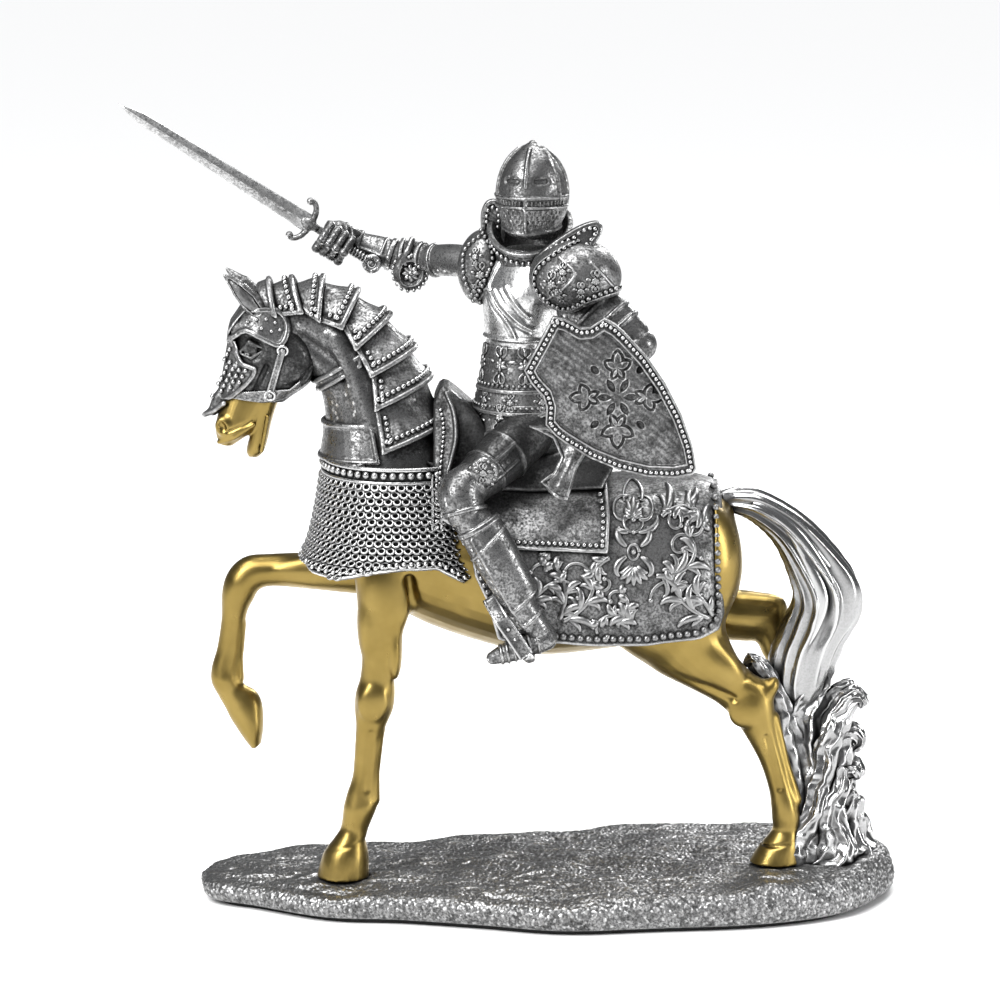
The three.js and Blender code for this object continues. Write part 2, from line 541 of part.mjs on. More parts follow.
// Stirrups: a flat strap down the outside of the shin and a tread under the foot.
function stirrup(side, x, z) {
  const strapLine = [[x - 18, z + 26], [x - 12, z + 27], [x + 6.4, z + 0.6], [x + 0.4, z - 1.4]];
  const treadLine = [[x - 4.6, z - 4.2], [x - 5.4, z - 2.4], [x + 6.4, z + 1.6], [x + 6.8, z - 0.4]];
  const hangerLine = [[x - 1.6, z - 2.8], [x - 1.6, z + 3], [x + 6.4, z + 3.6], [x + 6.6, z]];
  const outside = [0, side * 5.2, 0];
  return join(
    slab(strapLine, -0.8, 0.8).translate(outside),
    slab(hangerLine, -0.8, 0.8).translate(outside),
    slab(treadLine, -4.4, 4.4).translate([0, side * 1.6, 0]),
  );
}
const sabatons = ["sabaton_left", "sabaton_right"].map((name, i) =>
  add(name, clear(forms[name], greaves[i], caparison), "silver"),
);
const stirrupLeft = stirrup(LEFT, -6, 95).translate([0, -42.4, 0]);
const stirrupRight = stirrup(RIGHT, -11, 96).translate([0, 41.4, 0]);
add("stirrup_left", clear(stirrupLeft, greaves[0], sabatons[0], caparison), "dark");
add("stirrup_right", clear(stirrupRight, greaves[1], sabatons[1], caparison), "dark");

// The surcoat's tail falls in a fold behind the left thigh.
const SURCOAT = [[-3, 164], [3, 164], [8, 153], [7, 143.4], [2, 148], [-3, 152], [-6, 158]];
const surcoat = slab(SURCOAT, -36, -24, false, 1.2);
add("surcoat_tail", clear(surcoat, thighs[0], skirt, blanket, caparison, body), "silver");

// ---- shield, held at the rider's left ---------------------------------------------------------------
// Outline in the shield's own frame: along its axis from top to point, and across it.
const SHIELD = { top: [-4.4, 200.2], axis: -39.5, skew: -0.2, y: -39, thickness: 2.4, bow: 3.2 };
const SHIELD_HALF = [
  [0, 9.9], [4, 13], [8.5, 14.2], [13, 16.2], [15, 19.6], [24, 20.4], [34, 19], [44, 16], [54, 11.4],
  [62, 6], [66.5, 1.6],
];
function makeShield() {
  const turn = THREE.MathUtils.degToRad(SHIELD.axis);
  const both = [...SHIELD_HALF, ...SHIELD_HALF.toReversed().map(([a, p]) => [a, -p])];
  const outline = both.map(([a, p]) => {
    const along = a + SHIELD.skew * p;
    return [
      SHIELD.top[0] + along * Math.cos(turn) - p * Math.sin(turn),
      SHIELD.top[1] + along * Math.sin(turn) + p * Math.cos(turn),
    ];
  });
  const flat = slab(outline, SHIELD.y - SHIELD.thickness, SHIELD.y).refineToLength(14);
  const HALF_WIDTH = 20;
  return flat.warp((v) => {
    const across = -(v[0] - SHIELD.top[0]) * Math.sin(turn) + (v[2] - SHIELD.top[1]) * Math.cos(turn);
    v[1] -= SHIELD.bow * (1 - (across / HALF_WIDTH) ** 2);
  });
}
const shield = add("shield", makeShield(), "silver");

// ---- arms -----------------------------------------------------------------------------------------
const PAULDRON_LEFT = { centre: [8.5, -20.5, 218.4], radii: [14.4, 11.5, 10.2] };
const PAULDRON_RIGHT = { centre: [-23.4, 11, 215], radii: [7.4, 7.6, 10.4] };
const WING_LEFT = [
  [-6, 221], [-3.4, 228], [4.5, 233], [13.6, 235.4], [16.6, 232.6], [14.4, 227.6], [15, 221],
];
const WING_RIGHT = [[-24, 222], [-21.4, 236], [-18.6, 240], [-16, 238], [-15.4, 228], [-17, 222]];
const wing = slab(WING_LEFT, -19.4, -16.8);
const pauldronLeft = join(ball(PAULDRON_LEFT.centre, PAULDRON_LEFT.radii, 14), wing);
const armLeft = add("upper_arm_left", clear(forms.upper_arm_left, cuirass, shield), "dark");
const armRight = add("upper_arm_right", clear(forms.upper_arm_right, cuirass), "silver");
const elbowDisc = ball([-46.6, 22.6, 214.6], [5.2, 2.6, 5.2], 14);
const couter = add("couter_right", clear(join(forms.couter_right, elbowDisc), armRight), "silver");
const forearm = add("forearm_right", clear(forms.forearm_right, couter), "silver");
const headAndChest = [cuirass, gorget, helmet, visor];
add("pauldron_left", clear(pauldronLeft, ...headAndChest, armLeft, shield), "silver");
const shoulderBall = ball(PAULDRON_RIGHT.centre, PAULDRON_RIGHT.radii, 12);
const pauldronRight = join(shoulderBall, slab(WING_RIGHT, 6, 8));
add("pauldron_right", clear(pauldronRight, ...headAndChest, armRight), "silver");
// The left forearm ends in the hand that holds the shield's grip.
const forearmLeft = join(forms.forearm_left, ball([5.4, -33.4, 182], [5, 3.6, 4.6], 14));
add("forearm_left", clear(forearmLeft, armLeft, shield), "dark");

// ---- sword, along its own axis through the fist --------------------------------------------------------
// In the sword's frame x runs from the guard to the tip, z across the blade and y through it.
const swordTurn = (piece) => piece.rotate([0, -SWORD.angle, 0]).scale([-1, 1, 1]).translate(SWORD.guard);
const flatTo = (outline, half) => slab(outline, -half, half);
function blade() {
  const b = SWORD.blade;
  const w = SWORD.width / 2;
  const t = SWORD.thickness / 2;
  const rings = [
    [1, w, t], [b * 0.5, w * 0.8, t * 0.85], [b * 0.88, w * 0.5, t * 0.6], [b * 0.96, w * 0.3, t * 0.45],
    [b, 0.15, 0.15],
  ];
  return tube(
    rings.map(([x, across, thick]) => ({
      centre: new THREE.Vector3(x, 0, 0),
      side: new THREE.Vector3(0, 0, across),
      up: new THREE.Vector3(0, thick, 0),
    })),
    6,
  );
}
const GUARD = [
  [-1, -4], [0.6, -7], [3.6, -7.6], [3.8, -6.6], [2, -5.6], [1.6, -3], [1.6, 3], [2, 5.6], [3.8, 6.6],
  [3.6, 7.6], [0.6, 7], [-1, 4], [-1.4, 1.4], [-4.6, 1.4], [-4.6, -1.4], [-1.4, -1.4],
];
const TANG_START = -4.4; // behind the guard
function tangBox(grown) {
  const length = TANG.length + grown;
  const box = new THREE.BoxGeometry(length, TANG.thickness + 2 * grown, TANG.width + 2 * grown);
  return solid(box.translate(TANG_START - length / 2, 0, 0));
}
const sword = join(blade(), flatTo(GUARD, 1.3), tangBox(0));
add("sword", largest(swordTurn(sword)), "steel");
const FIST = { centre: [-10.6, 0, -1.6], radii: [5.2, 5, 5.6] };
const fistBall = swordTurn(ball(FIST.centre, FIST.radii, 12));
const cuff = limb([[-69, 29.4, 223, 3.6], [-73, 26, 224.6, 3.2]], 10);
const fist = clear(join(fistBall, cuff), forearm, swordTurn(flatTo(GUARD, 1.3)));
add("gauntlet_right", largest(fist.subtract(swordTurn(tangBox(GAP)))), "silver");
// The lower grip and the ring pommel are fixed to the fist's underside.
const pommelRing = new THREE.TorusGeometry(2.4, 1, 6, 12).rotateX(Math.PI / 2).translate(-24.4, 0, 0);
const lowerGrip = new THREE.CylinderGeometry(1.5, 1.8, 7, 8).rotateZ(Math.PI / 2).translate(-18.9, 0, 0);
const pommel = swordTurn(join(solid(pommelRing), solid(lowerGrip)));
add("sword_pommel", clear(pommel, fist, forearm, ...lames), "dark");

// ---- tail and the breaking wave that holds the horse up ------------------------------------------------
const tail = add("tail", clear(profile(TAIL, 0, 12), body, caparison, ...legs), "silver");
const WAVE = [
  [66, 82.6], [68.6, 89], [73, 90], [77.6, 82], [82, 75], [88, 73], [96, 75.6], [103, 73.6],
  [104.6, 69], [99.6, 66.4], [98.6, 60.6],
  [105, 60], [106.6, 55], [104, 51.6], [100, 52], [101.4, 48], [106, 45.4], [104.6, 38], [101.4, 36.6],
  [104.6, 27], [112, 14], [112, 9], [84, 9], [82, 30], [78, 56], [74, 72],
];
const HIGH = 9.5; // half thickness of the wave
const wave = slab(WAVE, -HIGH, HIGH + 2, false, 1.8);
add("wave_support", clear(wave, base, tail, ...legs), "silver");

export default statue;
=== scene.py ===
"""The looks of the knight on horseback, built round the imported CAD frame.

Everything is sculpted in millimetres in the row frame and turned into metres when a mesh is made.
The horse faces -X, its left side (the shield side) faces -Y, and +Z is up.
"""

import math
import random

import bmesh
import bpy
import numpy as np
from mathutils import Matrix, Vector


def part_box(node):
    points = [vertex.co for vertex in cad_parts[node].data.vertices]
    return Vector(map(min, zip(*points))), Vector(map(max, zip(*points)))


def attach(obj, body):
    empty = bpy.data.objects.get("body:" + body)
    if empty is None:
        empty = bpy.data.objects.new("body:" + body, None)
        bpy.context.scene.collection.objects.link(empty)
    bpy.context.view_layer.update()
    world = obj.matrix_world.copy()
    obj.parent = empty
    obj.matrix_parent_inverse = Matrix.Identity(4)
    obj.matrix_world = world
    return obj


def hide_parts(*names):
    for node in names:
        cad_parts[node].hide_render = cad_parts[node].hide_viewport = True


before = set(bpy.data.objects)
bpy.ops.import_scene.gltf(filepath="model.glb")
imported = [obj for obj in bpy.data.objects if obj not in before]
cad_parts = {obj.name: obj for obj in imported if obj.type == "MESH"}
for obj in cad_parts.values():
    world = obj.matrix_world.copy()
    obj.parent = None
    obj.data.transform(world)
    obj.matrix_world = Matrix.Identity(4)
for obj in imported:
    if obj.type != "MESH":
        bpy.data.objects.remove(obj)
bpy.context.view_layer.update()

import openvdb
from mathutils import Vector, noise
from mathutils.bvhtree import BVHTree

random.seed(7)
noise.seed_set(7)

MM = 0.001
LEFT, RIGHT = -1, 1
SIDES = ((LEFT, "left"), (RIGHT, "right"))
STATUE, SWORD = "statue", "sword"
FAR = 1e6


# ---------------------------------------------------------------------------------------------
# Sculpting: closed forms as signed distances on a grid
# ---------------------------------------------------------------------------------------------
def spline(points, steps):
    """Catmull-Rom through rows of numbers, with `steps` samples in each span."""
    rows = np.array(points, float)
    rows = np.vstack([2 * rows[0] - rows[1], rows, 2 * rows[-1] - rows[-2]])
    t = np.linspace(0, 1, steps, endpoint=False)[:, None]
    spans = []
    for a, b, c, d in zip(rows, rows[1:], rows[2:], rows[3:]):
        curve = 2 * b + (c - a) * t + (2 * a - 5 * b + 4 * c - d) * t**2
        spans.append(0.5 * (curve + (3 * b - a - 3 * c + d) * t**3))
    spans.append(rows[-2][None])
    return np.vstack(spans)


def rings_of(centre, side, up, sides, power=2.0):
    """Rings of points round each centre; power 2 is an ellipse and more is squarer."""
    angle = np.linspace(0, 2 * math.pi, sides, endpoint=False)
    c, s = np.cos(angle), np.sin(angle)
    bulge = (np.abs(c) ** power + np.abs(s) ** power) ** (-1 / power)
    across = (c * bulge)[None, :, None] * side[:, None]
    return centre[:, None] + across + (s * bulge)[None, :, None] * up[:, None]


def skin(rings):
    """Closed mesh over rings of shape (count, sides, 3): vertices and a list of faces."""
    count, sides, _ = rings.shape
    points = np.vstack([rings.reshape(-1, 3), rings[0].mean(0), rings[-1].mean(0)])
    j = np.arange(sides)
    k = (j + 1) % sides
    faces = []
    for i in range(count - 1):
        a, b = i * sides, (i + 1) * sides
        faces.append(np.stack([a + j, a + k, b + k, b + j], 1))
    quads = np.vstack(faces)
    first = np.stack([np.full(sides, count * sides), k, j], 1)
    last = np.stack(
        [np.full(sides, count * sides + 1), (count - 1) * sides + j, (count - 1) * sides + k], 1
    )
    return points, quads, np.vstack([first, last])


def profile(stations, y=0.0, steps=5, sides=40, power=2.0):
    """A form from side-view stations: upper x, z, lower x, z, half width and a shift in y."""
    rows = [list(row) + [0.0] * (6 - len(row)) for row in stations]
    s = spline(rows, steps)
    zero = np.zeros(len(s))
    centre = np.stack([(s[:, 0] + s[:, 2]) / 2, y + s[:, 5], (s[:, 1] + s[:, 3]) / 2], 1)
    side = np.stack([zero, np.maximum(s[:, 4], 0.3), zero], 1)
    up = np.stack([(s[:, 0] - s[:, 2]) / 2, zero, (s[:, 1] - s[:, 3]) / 2], 1)
    return skin(rings_of(centre, side, up, sides, power))


def tower(stations, yaw, steps=6, sides=48, power=2.0):
    """An upright form turned by yaw degrees: z, x, y, half width across and half depth."""
    s = spline(stations, steps)
    turn = math.radians(yaw)
    zero = np.zeros(len(s))
    centre = np.stack([s[:, 1], s[:, 2], s[:, 0]], 1)
    side = np.stack([math.cos(turn) * s[:, 3], -math.sin(turn) * s[:, 3], zero], 1)
    up = np.stack([-math.sin(turn) * s[:, 4], -math.cos(turn) * s[:, 4], zero], 1)
    return skin(rings_of(centre, side, up, sides, power))


def smooth_min(a, b, blend):
    """The lower of two distances, rounded where they meet over blend mm."""
    if blend <= 0:
        return np.minimum(a, b)
    h = np.clip(0.5 + 0.5 * (b - a) / blend, 0, 1)
    return b + (a - b) * h - blend * h * (1 - h)


def smooth_max(a, b, blend):
    """The higher of two distances, rounded where they meet over blend mm."""
    return -smooth_min(-a, -b, blend)


class Clay:
    """A signed distance on a grid, in millimetres: negative inside."""

    def __init__(self, low, high, cell, reach=0.0):
        self.cell = cell
        self.reach = reach or 8 * cell
        self.low = np.floor(np.array(low, float) / cell) * cell
        count = np.ceil((np.array(high, float) - self.low) / cell).astype(int) + 1
        self.axes = [self.low[i] + cell * np.arange(count[i]) for i in range(3)]
        self.field = np.full(count, self.reach, np.float32)

    def copy(self):
        twin = object.__new__(Clay)
        twin.cell, twin.reach, twin.low, twin.axes = self.cell, self.reach, self.low, self.axes
        twin.field = self.field.copy()
        return twin

    def coordinates(self, cut=(slice(None),) * 3):
        x, y, z = (axis[c].astype(np.float32) for axis, c in zip(self.axes, cut))
        return x[:, None, None], y[None, :, None], z[None, None, :]

    def window(self, low, high):
        count = self.field.shape
        start = np.floor((np.array(low) - self.low) / self.cell).astype(int)
        stop = np.ceil((np.array(high) - self.low) / self.cell).astype(int) + 1
        return tuple(slice(max(0, a), max(0, min(n, b))) for a, b, n in zip(start, stop, count))

    def take(self, cut, distance, blend, away):
        old = self.field[cut]
        if 0 in old.shape:
            return self
        if away:
            self.field[cut] = smooth_max(old, -distance, blend)
        else:
            self.field[cut] = smooth_min(old, distance, blend)
        return self

    def add(self, form, blend=0.0, away=False):
        """Joins a closed mesh (points, quads, triangles), or takes it away."""
        points, quads, triangles = form
        pad = self.reach
        cut = self.window(points.min(0) - pad, points.max(0) + pad)
        shape = self.field[cut].shape
        if 0 in shape:
            return self
        corner = np.array([axis[c.start] for axis, c in zip(self.axes, cut)])
        grid = openvdb.FloatGrid.createLevelSetFromPolygons(
            (points - corner).astype(np.float32),
            triangles=triangles.astype(np.uint32),
            quads=quads.astype(np.uint32),
            transform=openvdb.createLinearTransform(voxelSize=self.cell),
            halfWidth=self.reach / self.cell,
        )
        distance = np.full(shape, self.reach, np.float32)
        grid.copyToArray(distance)
        return self.take(cut, distance, blend, away)

    def path(self, points, blend=0.0, away=False):
        """Joins (or takes away) a round rod through points, each x, y, z, radius."""
        points = np.array(points, float)
        pad = self.reach * 0.7 + points[:, 3].max()
        cut = self.window(points[:, :3].min(0) - pad, points[:, :3].max(0) + pad)
        x, y, z = self.coordinates(cut)
        best = None
        for a, b in zip(points, points[1:]):
            d = b[:3] - a[:3]
            length2 = max(float(d @ d), 1e-9)
            t = ((x - a[0]) * d[0] + (y - a[1]) * d[1] + (z - a[2]) * d[2]) / length2
            t = np.clip(t, 0, 1)
            gap = (x - a[0] - t * d[0]) ** 2 + (y - a[1] - t * d[1]) ** 2 + (z - a[2] - t * d[2]) ** 2
            distance = np.sqrt(gap) - (a[3] + t * (b[3] - a[3]))
            best = distance if best is None else np.minimum(best, distance)
        return self.take(cut, best, blend, away)

    def ball(self, centre, radii, blend=0.0, away=False, lean=0.0, yaw=0.0):
        """Joins (or takes away) an ellipsoid, leant about Y and then turned about Z, in degrees."""
        centre, radii = np.array(centre, float), np.array(radii, float)
        pad = self.reach + radii.max()
        cut = self.window(centre - pad, centre + pad)
        x, y, z = self.coordinates(cut)
        x, y, z = x - centre[0], y - centre[1], z - centre[2]
        a, b = math.radians(yaw), math.radians(lean)
        x, y = x * math.cos(a) + y * math.sin(a), y * math.cos(a) - x * math.sin(a)
        x, z = x * math.cos(b) + z * math.sin(b), z * math.cos(b) - x * math.sin(b)
        k = np.sqrt((x / radii[0]) ** 2 + (y / radii[1]) ** 2 + (z / radii[2]) ** 2)
        slope = np.sqrt((x / radii[0] ** 2) ** 2 + (y / radii[1] ** 2) ** 2 + (z / radii[2] ** 2) ** 2)
        return self.take(cut, k * (k - 1) / np.maximum(slope, 1e-4), blend, away)

    def keep(self, distance, blend=0.0):
        """Keeps only what is inside the given distance, which broadcasts over the grid."""
        self.field = smooth_max(self.field, np.broadcast_to(distance, self.field.shape), blend)
        return self

    def join(self, distance, blend=0.0):
        self.field = smooth_min(self.field, distance, blend)
        return self

    def mesh(self):
        """Vertices and quads of the surface."""
        field = np.ascontiguousarray(np.clip(self.field, -self.reach, self.reach), np.float32)
        for axis in range(3):
            edge = [slice(None)] * 3
            for end in (0, -1):
                edge[axis] = end
                field[tuple(edge)] = self.reach
        grid = openvdb.FloatGrid(self.reach)
        grid.copyFromArray(field)
        grid.transform = openvdb.createLinearTransform(voxelSize=self.cell)
        points, quads = grid.convertToQuads(isovalue=0)
        return points.astype(float) + self.low, quads.astype(int)


def outline_distance(outline, u, v, steps=1):
    """Signed distance in a plane to a closed outline of points, negative inside."""
    ring = np.array(outline, float)
    if steps > 1:
        ring = spline(np.vstack([ring, ring[0]]), steps)[:-1]
    shape = np.broadcast(u, v).shape
    u = np.broadcast_to(u, shape).astype(np.float32)
    v = np.broadcast_to(v, shape).astype(np.float32)
    best = np.full(shape, FAR, np.float32)
    inside = np.zeros(shape, bool)
    for (au, av), (bu, bv) in zip(ring, np.roll(ring, -1, 0)):
        du, dv = bu - au, bv - av
        t = np.clip(((u - au) * du + (v - av) * dv) / max(du * du + dv * dv, 1e-9), 0, 1)
        best = np.minimum(best, (u - au - t * du) ** 2 + (v - av - t * dv) ** 2)
        if bv != av:
            crosses = ((av > v) != (bv > v)) & (u < du * (v - av) / dv + au)
            inside ^= crosses
    distance = np.sqrt(best)
    return np.where(inside, -distance, distance)


# ---------------------------------------------------------------------------------------------
# Meshes, and placing small things on surfaces
# ---------------------------------------------------------------------------------------------
def blender_mesh(name, points, faces):
    """A smooth mesh in metres from points in millimetres."""
    mesh = bpy.data.meshes.new(name)
    flat = [np.asarray(f, np.int32) for f in faces if len(f)]
    corners = np.concatenate([f.ravel() for f in flat])
    totals = np.concatenate([np.full(len(f), f.shape[1], np.int32) for f in flat])
    mesh.vertices.add(len(points))
    mesh.vertices.foreach_set("co", (np.asarray(points) * MM).astype(np.float32).ravel())
    mesh.loops.add(len(corners))
    mesh.loops.foreach_set("vertex_index", corners)
    mesh.polygons.add(len(totals))
    mesh.polygons.foreach_set("loop_start", np.concatenate([[0], np.cumsum(totals)[:-1]]).astype(np.int32))
    mesh.polygons.foreach_set("use_smooth", np.ones(len(totals), bool))
    mesh.update(calc_edges=True)
    return mesh


def piece(name, points, faces, look, nodes=(), body=STATUE):
    """Makes an object of a mesh in millimetres that rides on body and stands for the CAD nodes."""
    material, slot = look
    obj = bpy.data.objects.new(name, blender_mesh(name, points, faces))
    bpy.context.scene.collection.objects.link(obj)
    obj.data.materials.append(material)
    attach(obj, body)
    if nodes:
        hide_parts(*nodes)
    return obj


def cast(name, clay, look, nodes=(), body=STATUE):
    """A sculpted piece, and its surface for placing things on it."""
    points, quads = clay.mesh()
    piece(name, points, [quads], look, nodes, body)
    return Surface(points, quads)


class Surface:
    """A mesh to cast rays onto, in millimetres."""

    def __init__(self, points, quads):
        self.tree = BVHTree.FromPolygons(points.tolist(), quads.tolist())

    def hit(self, start, towards):
        """The first point met from start along towards, and its outward normal, or None."""
        direction = Vector(towards).normalized()
        where, normal, _, _ = self.tree.ray_cast(Vector(start), direction)
        if where is None:
            return None
        if normal.dot(direction) > 0:
            normal = -normal
        return np.array(where), np.array(normal)

    def side(self, x, z, side):
        """The outermost point of one side at x and z."""
        return self.hit((x, side * 90, z), (0, -side, 0))

    def nearest(self, point):
        where, normal, _, _ = self.tree.find_nearest(Vector(point))
        return np.array(where), np.array(normal)


def even(points, pitch, closed=False):
    """Points at an even pitch along a line, fitted so that they end at its end."""
    line = np.array(points, float)
    if closed:
        line = np.vstack([line, line[0]])
    run = np.concatenate([[0], np.cumsum(np.linalg.norm(np.diff(line, axis=0), axis=1))])
    count = max(1, round(run[-1] / pitch))
    at = np.linspace(0, run[-1], count + 1)
    if closed:
        at = at[:-1]
    return np.stack([np.interp(at, run, line[:, i]) for i in range(line.shape[1])], 1)


def ball_template(level):
    """Points and triangles of a unit ball."""
    shape = bmesh.new()
    bmesh.ops.create_icosphere(shape, subdivisions=level, radius=1.0)
    points = np.array([v.co[:] for v in shape.verts])
    faces = np.array([[v.index for v in f.verts] for f in shape.faces])
    shape.free()
    return points, faces


BALL = ball_template(2)
FINE_BALL = ball_template(3)


class Heap:
    """Many small meshes gathered into one piece."""

    def __init__(self):
        self.points, self.quads, self.triangles, self.count = [], [], [], 0

    def put(self, points, quads=None, triangles=None):
        for faces, store in ((quads, self.quads), (triangles, self.triangles)):
            if faces is not None and len(faces):
                store.append(np.asarray(faces) + self.count)
        self.points.append(np.asarray(points))
        self.count += len(points)

    def bead(self, centre, radius, normal=None, flat=1.0, template=None):
        """A ball, flattened along its normal."""
        shape, faces = template or BALL
        points = shape * radius
        if normal is not None and flat != 1.0:
            n = np.array(normal)
            points = points - np.outer(points @ n, n) * (1 - flat)
        self.put(points + centre, triangles=faces)

    def beads(self, places, radius, sink=0.25):
        """Beads on surface points, each a point and its normal."""
        for place in places:
            if place is not None:
                self.bead(place[0] + place[1] * radius * (1 - 2 * sink), radius)

    def rod(self, points, radii, normals=None, flat=1.0, sides=8):
        """A rod of changing radius along points, flattened along the normals."""
        line = np.array(points, float)
        if len(line) < 2:
            return
        ahead = np.gradient(line, axis=0)
        ahead /= np.maximum(np.linalg.norm(ahead, axis=1), 1e-9)[:, None]
        if normals is None:
            normals = np.tile([0.0, -1.0, 0.0], (len(line), 1))
            normals[np.abs(ahead[:, 1]) > 0.9] = [1.0, 0.0, 0.0]
        side = np.cross(ahead, np.array(normals))
        side /= np.maximum(np.linalg.norm(side, axis=1), 1e-9)[:, None]
        up = np.cross(side, ahead)
        radii = np.broadcast_to(np.asarray(radii, float), (len(line),))[:, None]
        points, quads, triangles = skin(rings_of(line, side * radii, up * radii * flat, sides))
        self.put(points, *outward(points, quads, triangles))

    def ring(self, centre, normal, radius, wire, around=14, sides=6, stretch=1.0, along=(1, 0, 0)):
        """A ring of wire facing along normal, stretched along a direction."""
        n = np.array(normal, float)
        n /= np.linalg.norm(n)
        u = np.array(along, float) - n * float(np.dot(along, n))
        u /= np.linalg.norm(u)
        v = np.cross(n, u)
        a = np.linspace(0, 2 * math.pi, around, endpoint=False)
        b = np.linspace(0, 2 * math.pi, sides, endpoint=False)
        out = np.cos(a)[:, None] * u * stretch + np.sin(a)[:, None] * v
        points = centre + out[:, None] * (radius + wire * np.cos(b))[None, :, None]
        points = points + n * (wire * np.sin(b))[None, :, None]
        i, j = np.meshgrid(np.arange(around), np.arange(sides), indexing="ij")
        i2, j2 = (i + 1) % around, (j + 1) % sides
        quads = np.stack([i * sides + j, i2 * sides + j, i2 * sides + j2, i * sides + j2], -1)
        self.put(points.reshape(-1, 3), quads=quads.reshape(-1, 4))

    def piece(self, name, look, nodes=(), body=STATUE):
        faces = [np.vstack(f) for f in (self.quads, self.triangles) if f]
        return piece(name, np.vstack(self.points), faces, look, nodes, body)


def outward(points, quads, triangles):
    """The same faces, turned so that they face out of the closed mesh."""
    pairs = [(quads[:, 0], quads[:, 1], quads[:, 2]), (quads[:, 0], quads[:, 2], quads[:, 3])]
    pairs.append((triangles[:, 0], triangles[:, 1], triangles[:, 2]))
    middle = points.mean(0)
    volume = 0.0
    for a, b, c in pairs:
        volume += np.einsum(
            "ij,ij->i", np.cross(points[a] - middle, points[b] - middle), points[c] - middle
        ).sum()
    if volume < 0:
        return quads[:, ::-1], triangles[:, ::-1]
    return quads, triangles


# ---------------------------------------------------------------------------------------------
# Finishes
# ---------------------------------------------------------------------------------------------
class Nodes:
    """A material's node tree, with short ways to add and join nodes."""

    def __init__(self, name):
        self.material = bpy.data.materials.new(name)
        self.material.use_nodes = True
        self.tree = self.material.node_tree
        self.shader = self.tree.nodes["Principled BSDF"]
        self.place = self.add("ShaderNodeTexCoord").outputs["Object"]

    def add(self, kind, inputs=(), **settings):
        node = self.tree.nodes.new(kind)
        for key, value in settings.items():
            setattr(node, key, value)
        for socket, value in dict(inputs).items():
            self.set(node.inputs[socket], value)
        return node

    def set(self, socket, value):
        if isinstance(value, bpy.types.NodeSocket):
            self.tree.links.new(value, socket)
        else:
            socket.default_value = value

    def noise(self, scale, detail=3.0, roughness=0.55):
        inputs = {"Vector": self.place, "Scale": scale, "Detail": detail, "Roughness": roughness}
        return self.add("ShaderNodeTexNoise", inputs).outputs["Fac"]

    def cells(self, scale, feature="F1"):
        inputs = {"Vector": self.place, "Scale": scale}
        return self.add("ShaderNodeTexVoronoi", inputs, feature=feature).outputs["Distance"]

    def ramp(self, value, low, high, out_low=0.0, out_high=1.0):
        """Value mapped from low..high to out_low..out_high, and held there outside it."""
        inputs = {
            "Value": value,
            "From Min": low,
            "From Max": high,
            "To Min": out_low,
            "To Max": out_high,
        }
        return self.add("ShaderNodeMapRange", inputs).outputs["Result"]

    def maths(self, operation, a, b):
        return self.add("ShaderNodeMath", {0: a, 1: b}, operation=operation).outputs[0]

    def mix(self, amount, a, b):
        node = self.add("ShaderNodeMix", data_type="RGBA")
        self.set(node.inputs[0], amount)
        self.set(node.inputs[6], a)
        self.set(node.inputs[7], b)
        return node.outputs[2]

    def hollows(self, reach):
        """An occlusion mask for painted shade: 1 out in the open and 0 deep in a recess, within reach
        metres.
        """
        return self.add("ShaderNodeAmbientOcclusion", {"Distance": reach}, samples=8).outputs["AO"]

    def edges(self):
        """Above 0.5 on raised edges and below it in creases."""
        return self.add("ShaderNodeNewGeometry").outputs["Pointiness"]

    def bump(self, height, strength, depth):
        inputs = {"Height": height, "Strength": strength, "Distance": depth}
        self.set(self.shader.inputs["Normal"], self.add("ShaderNodeBump", inputs).outputs["Normal"])


def grey(value):
    return (value, value, value, 1.0)


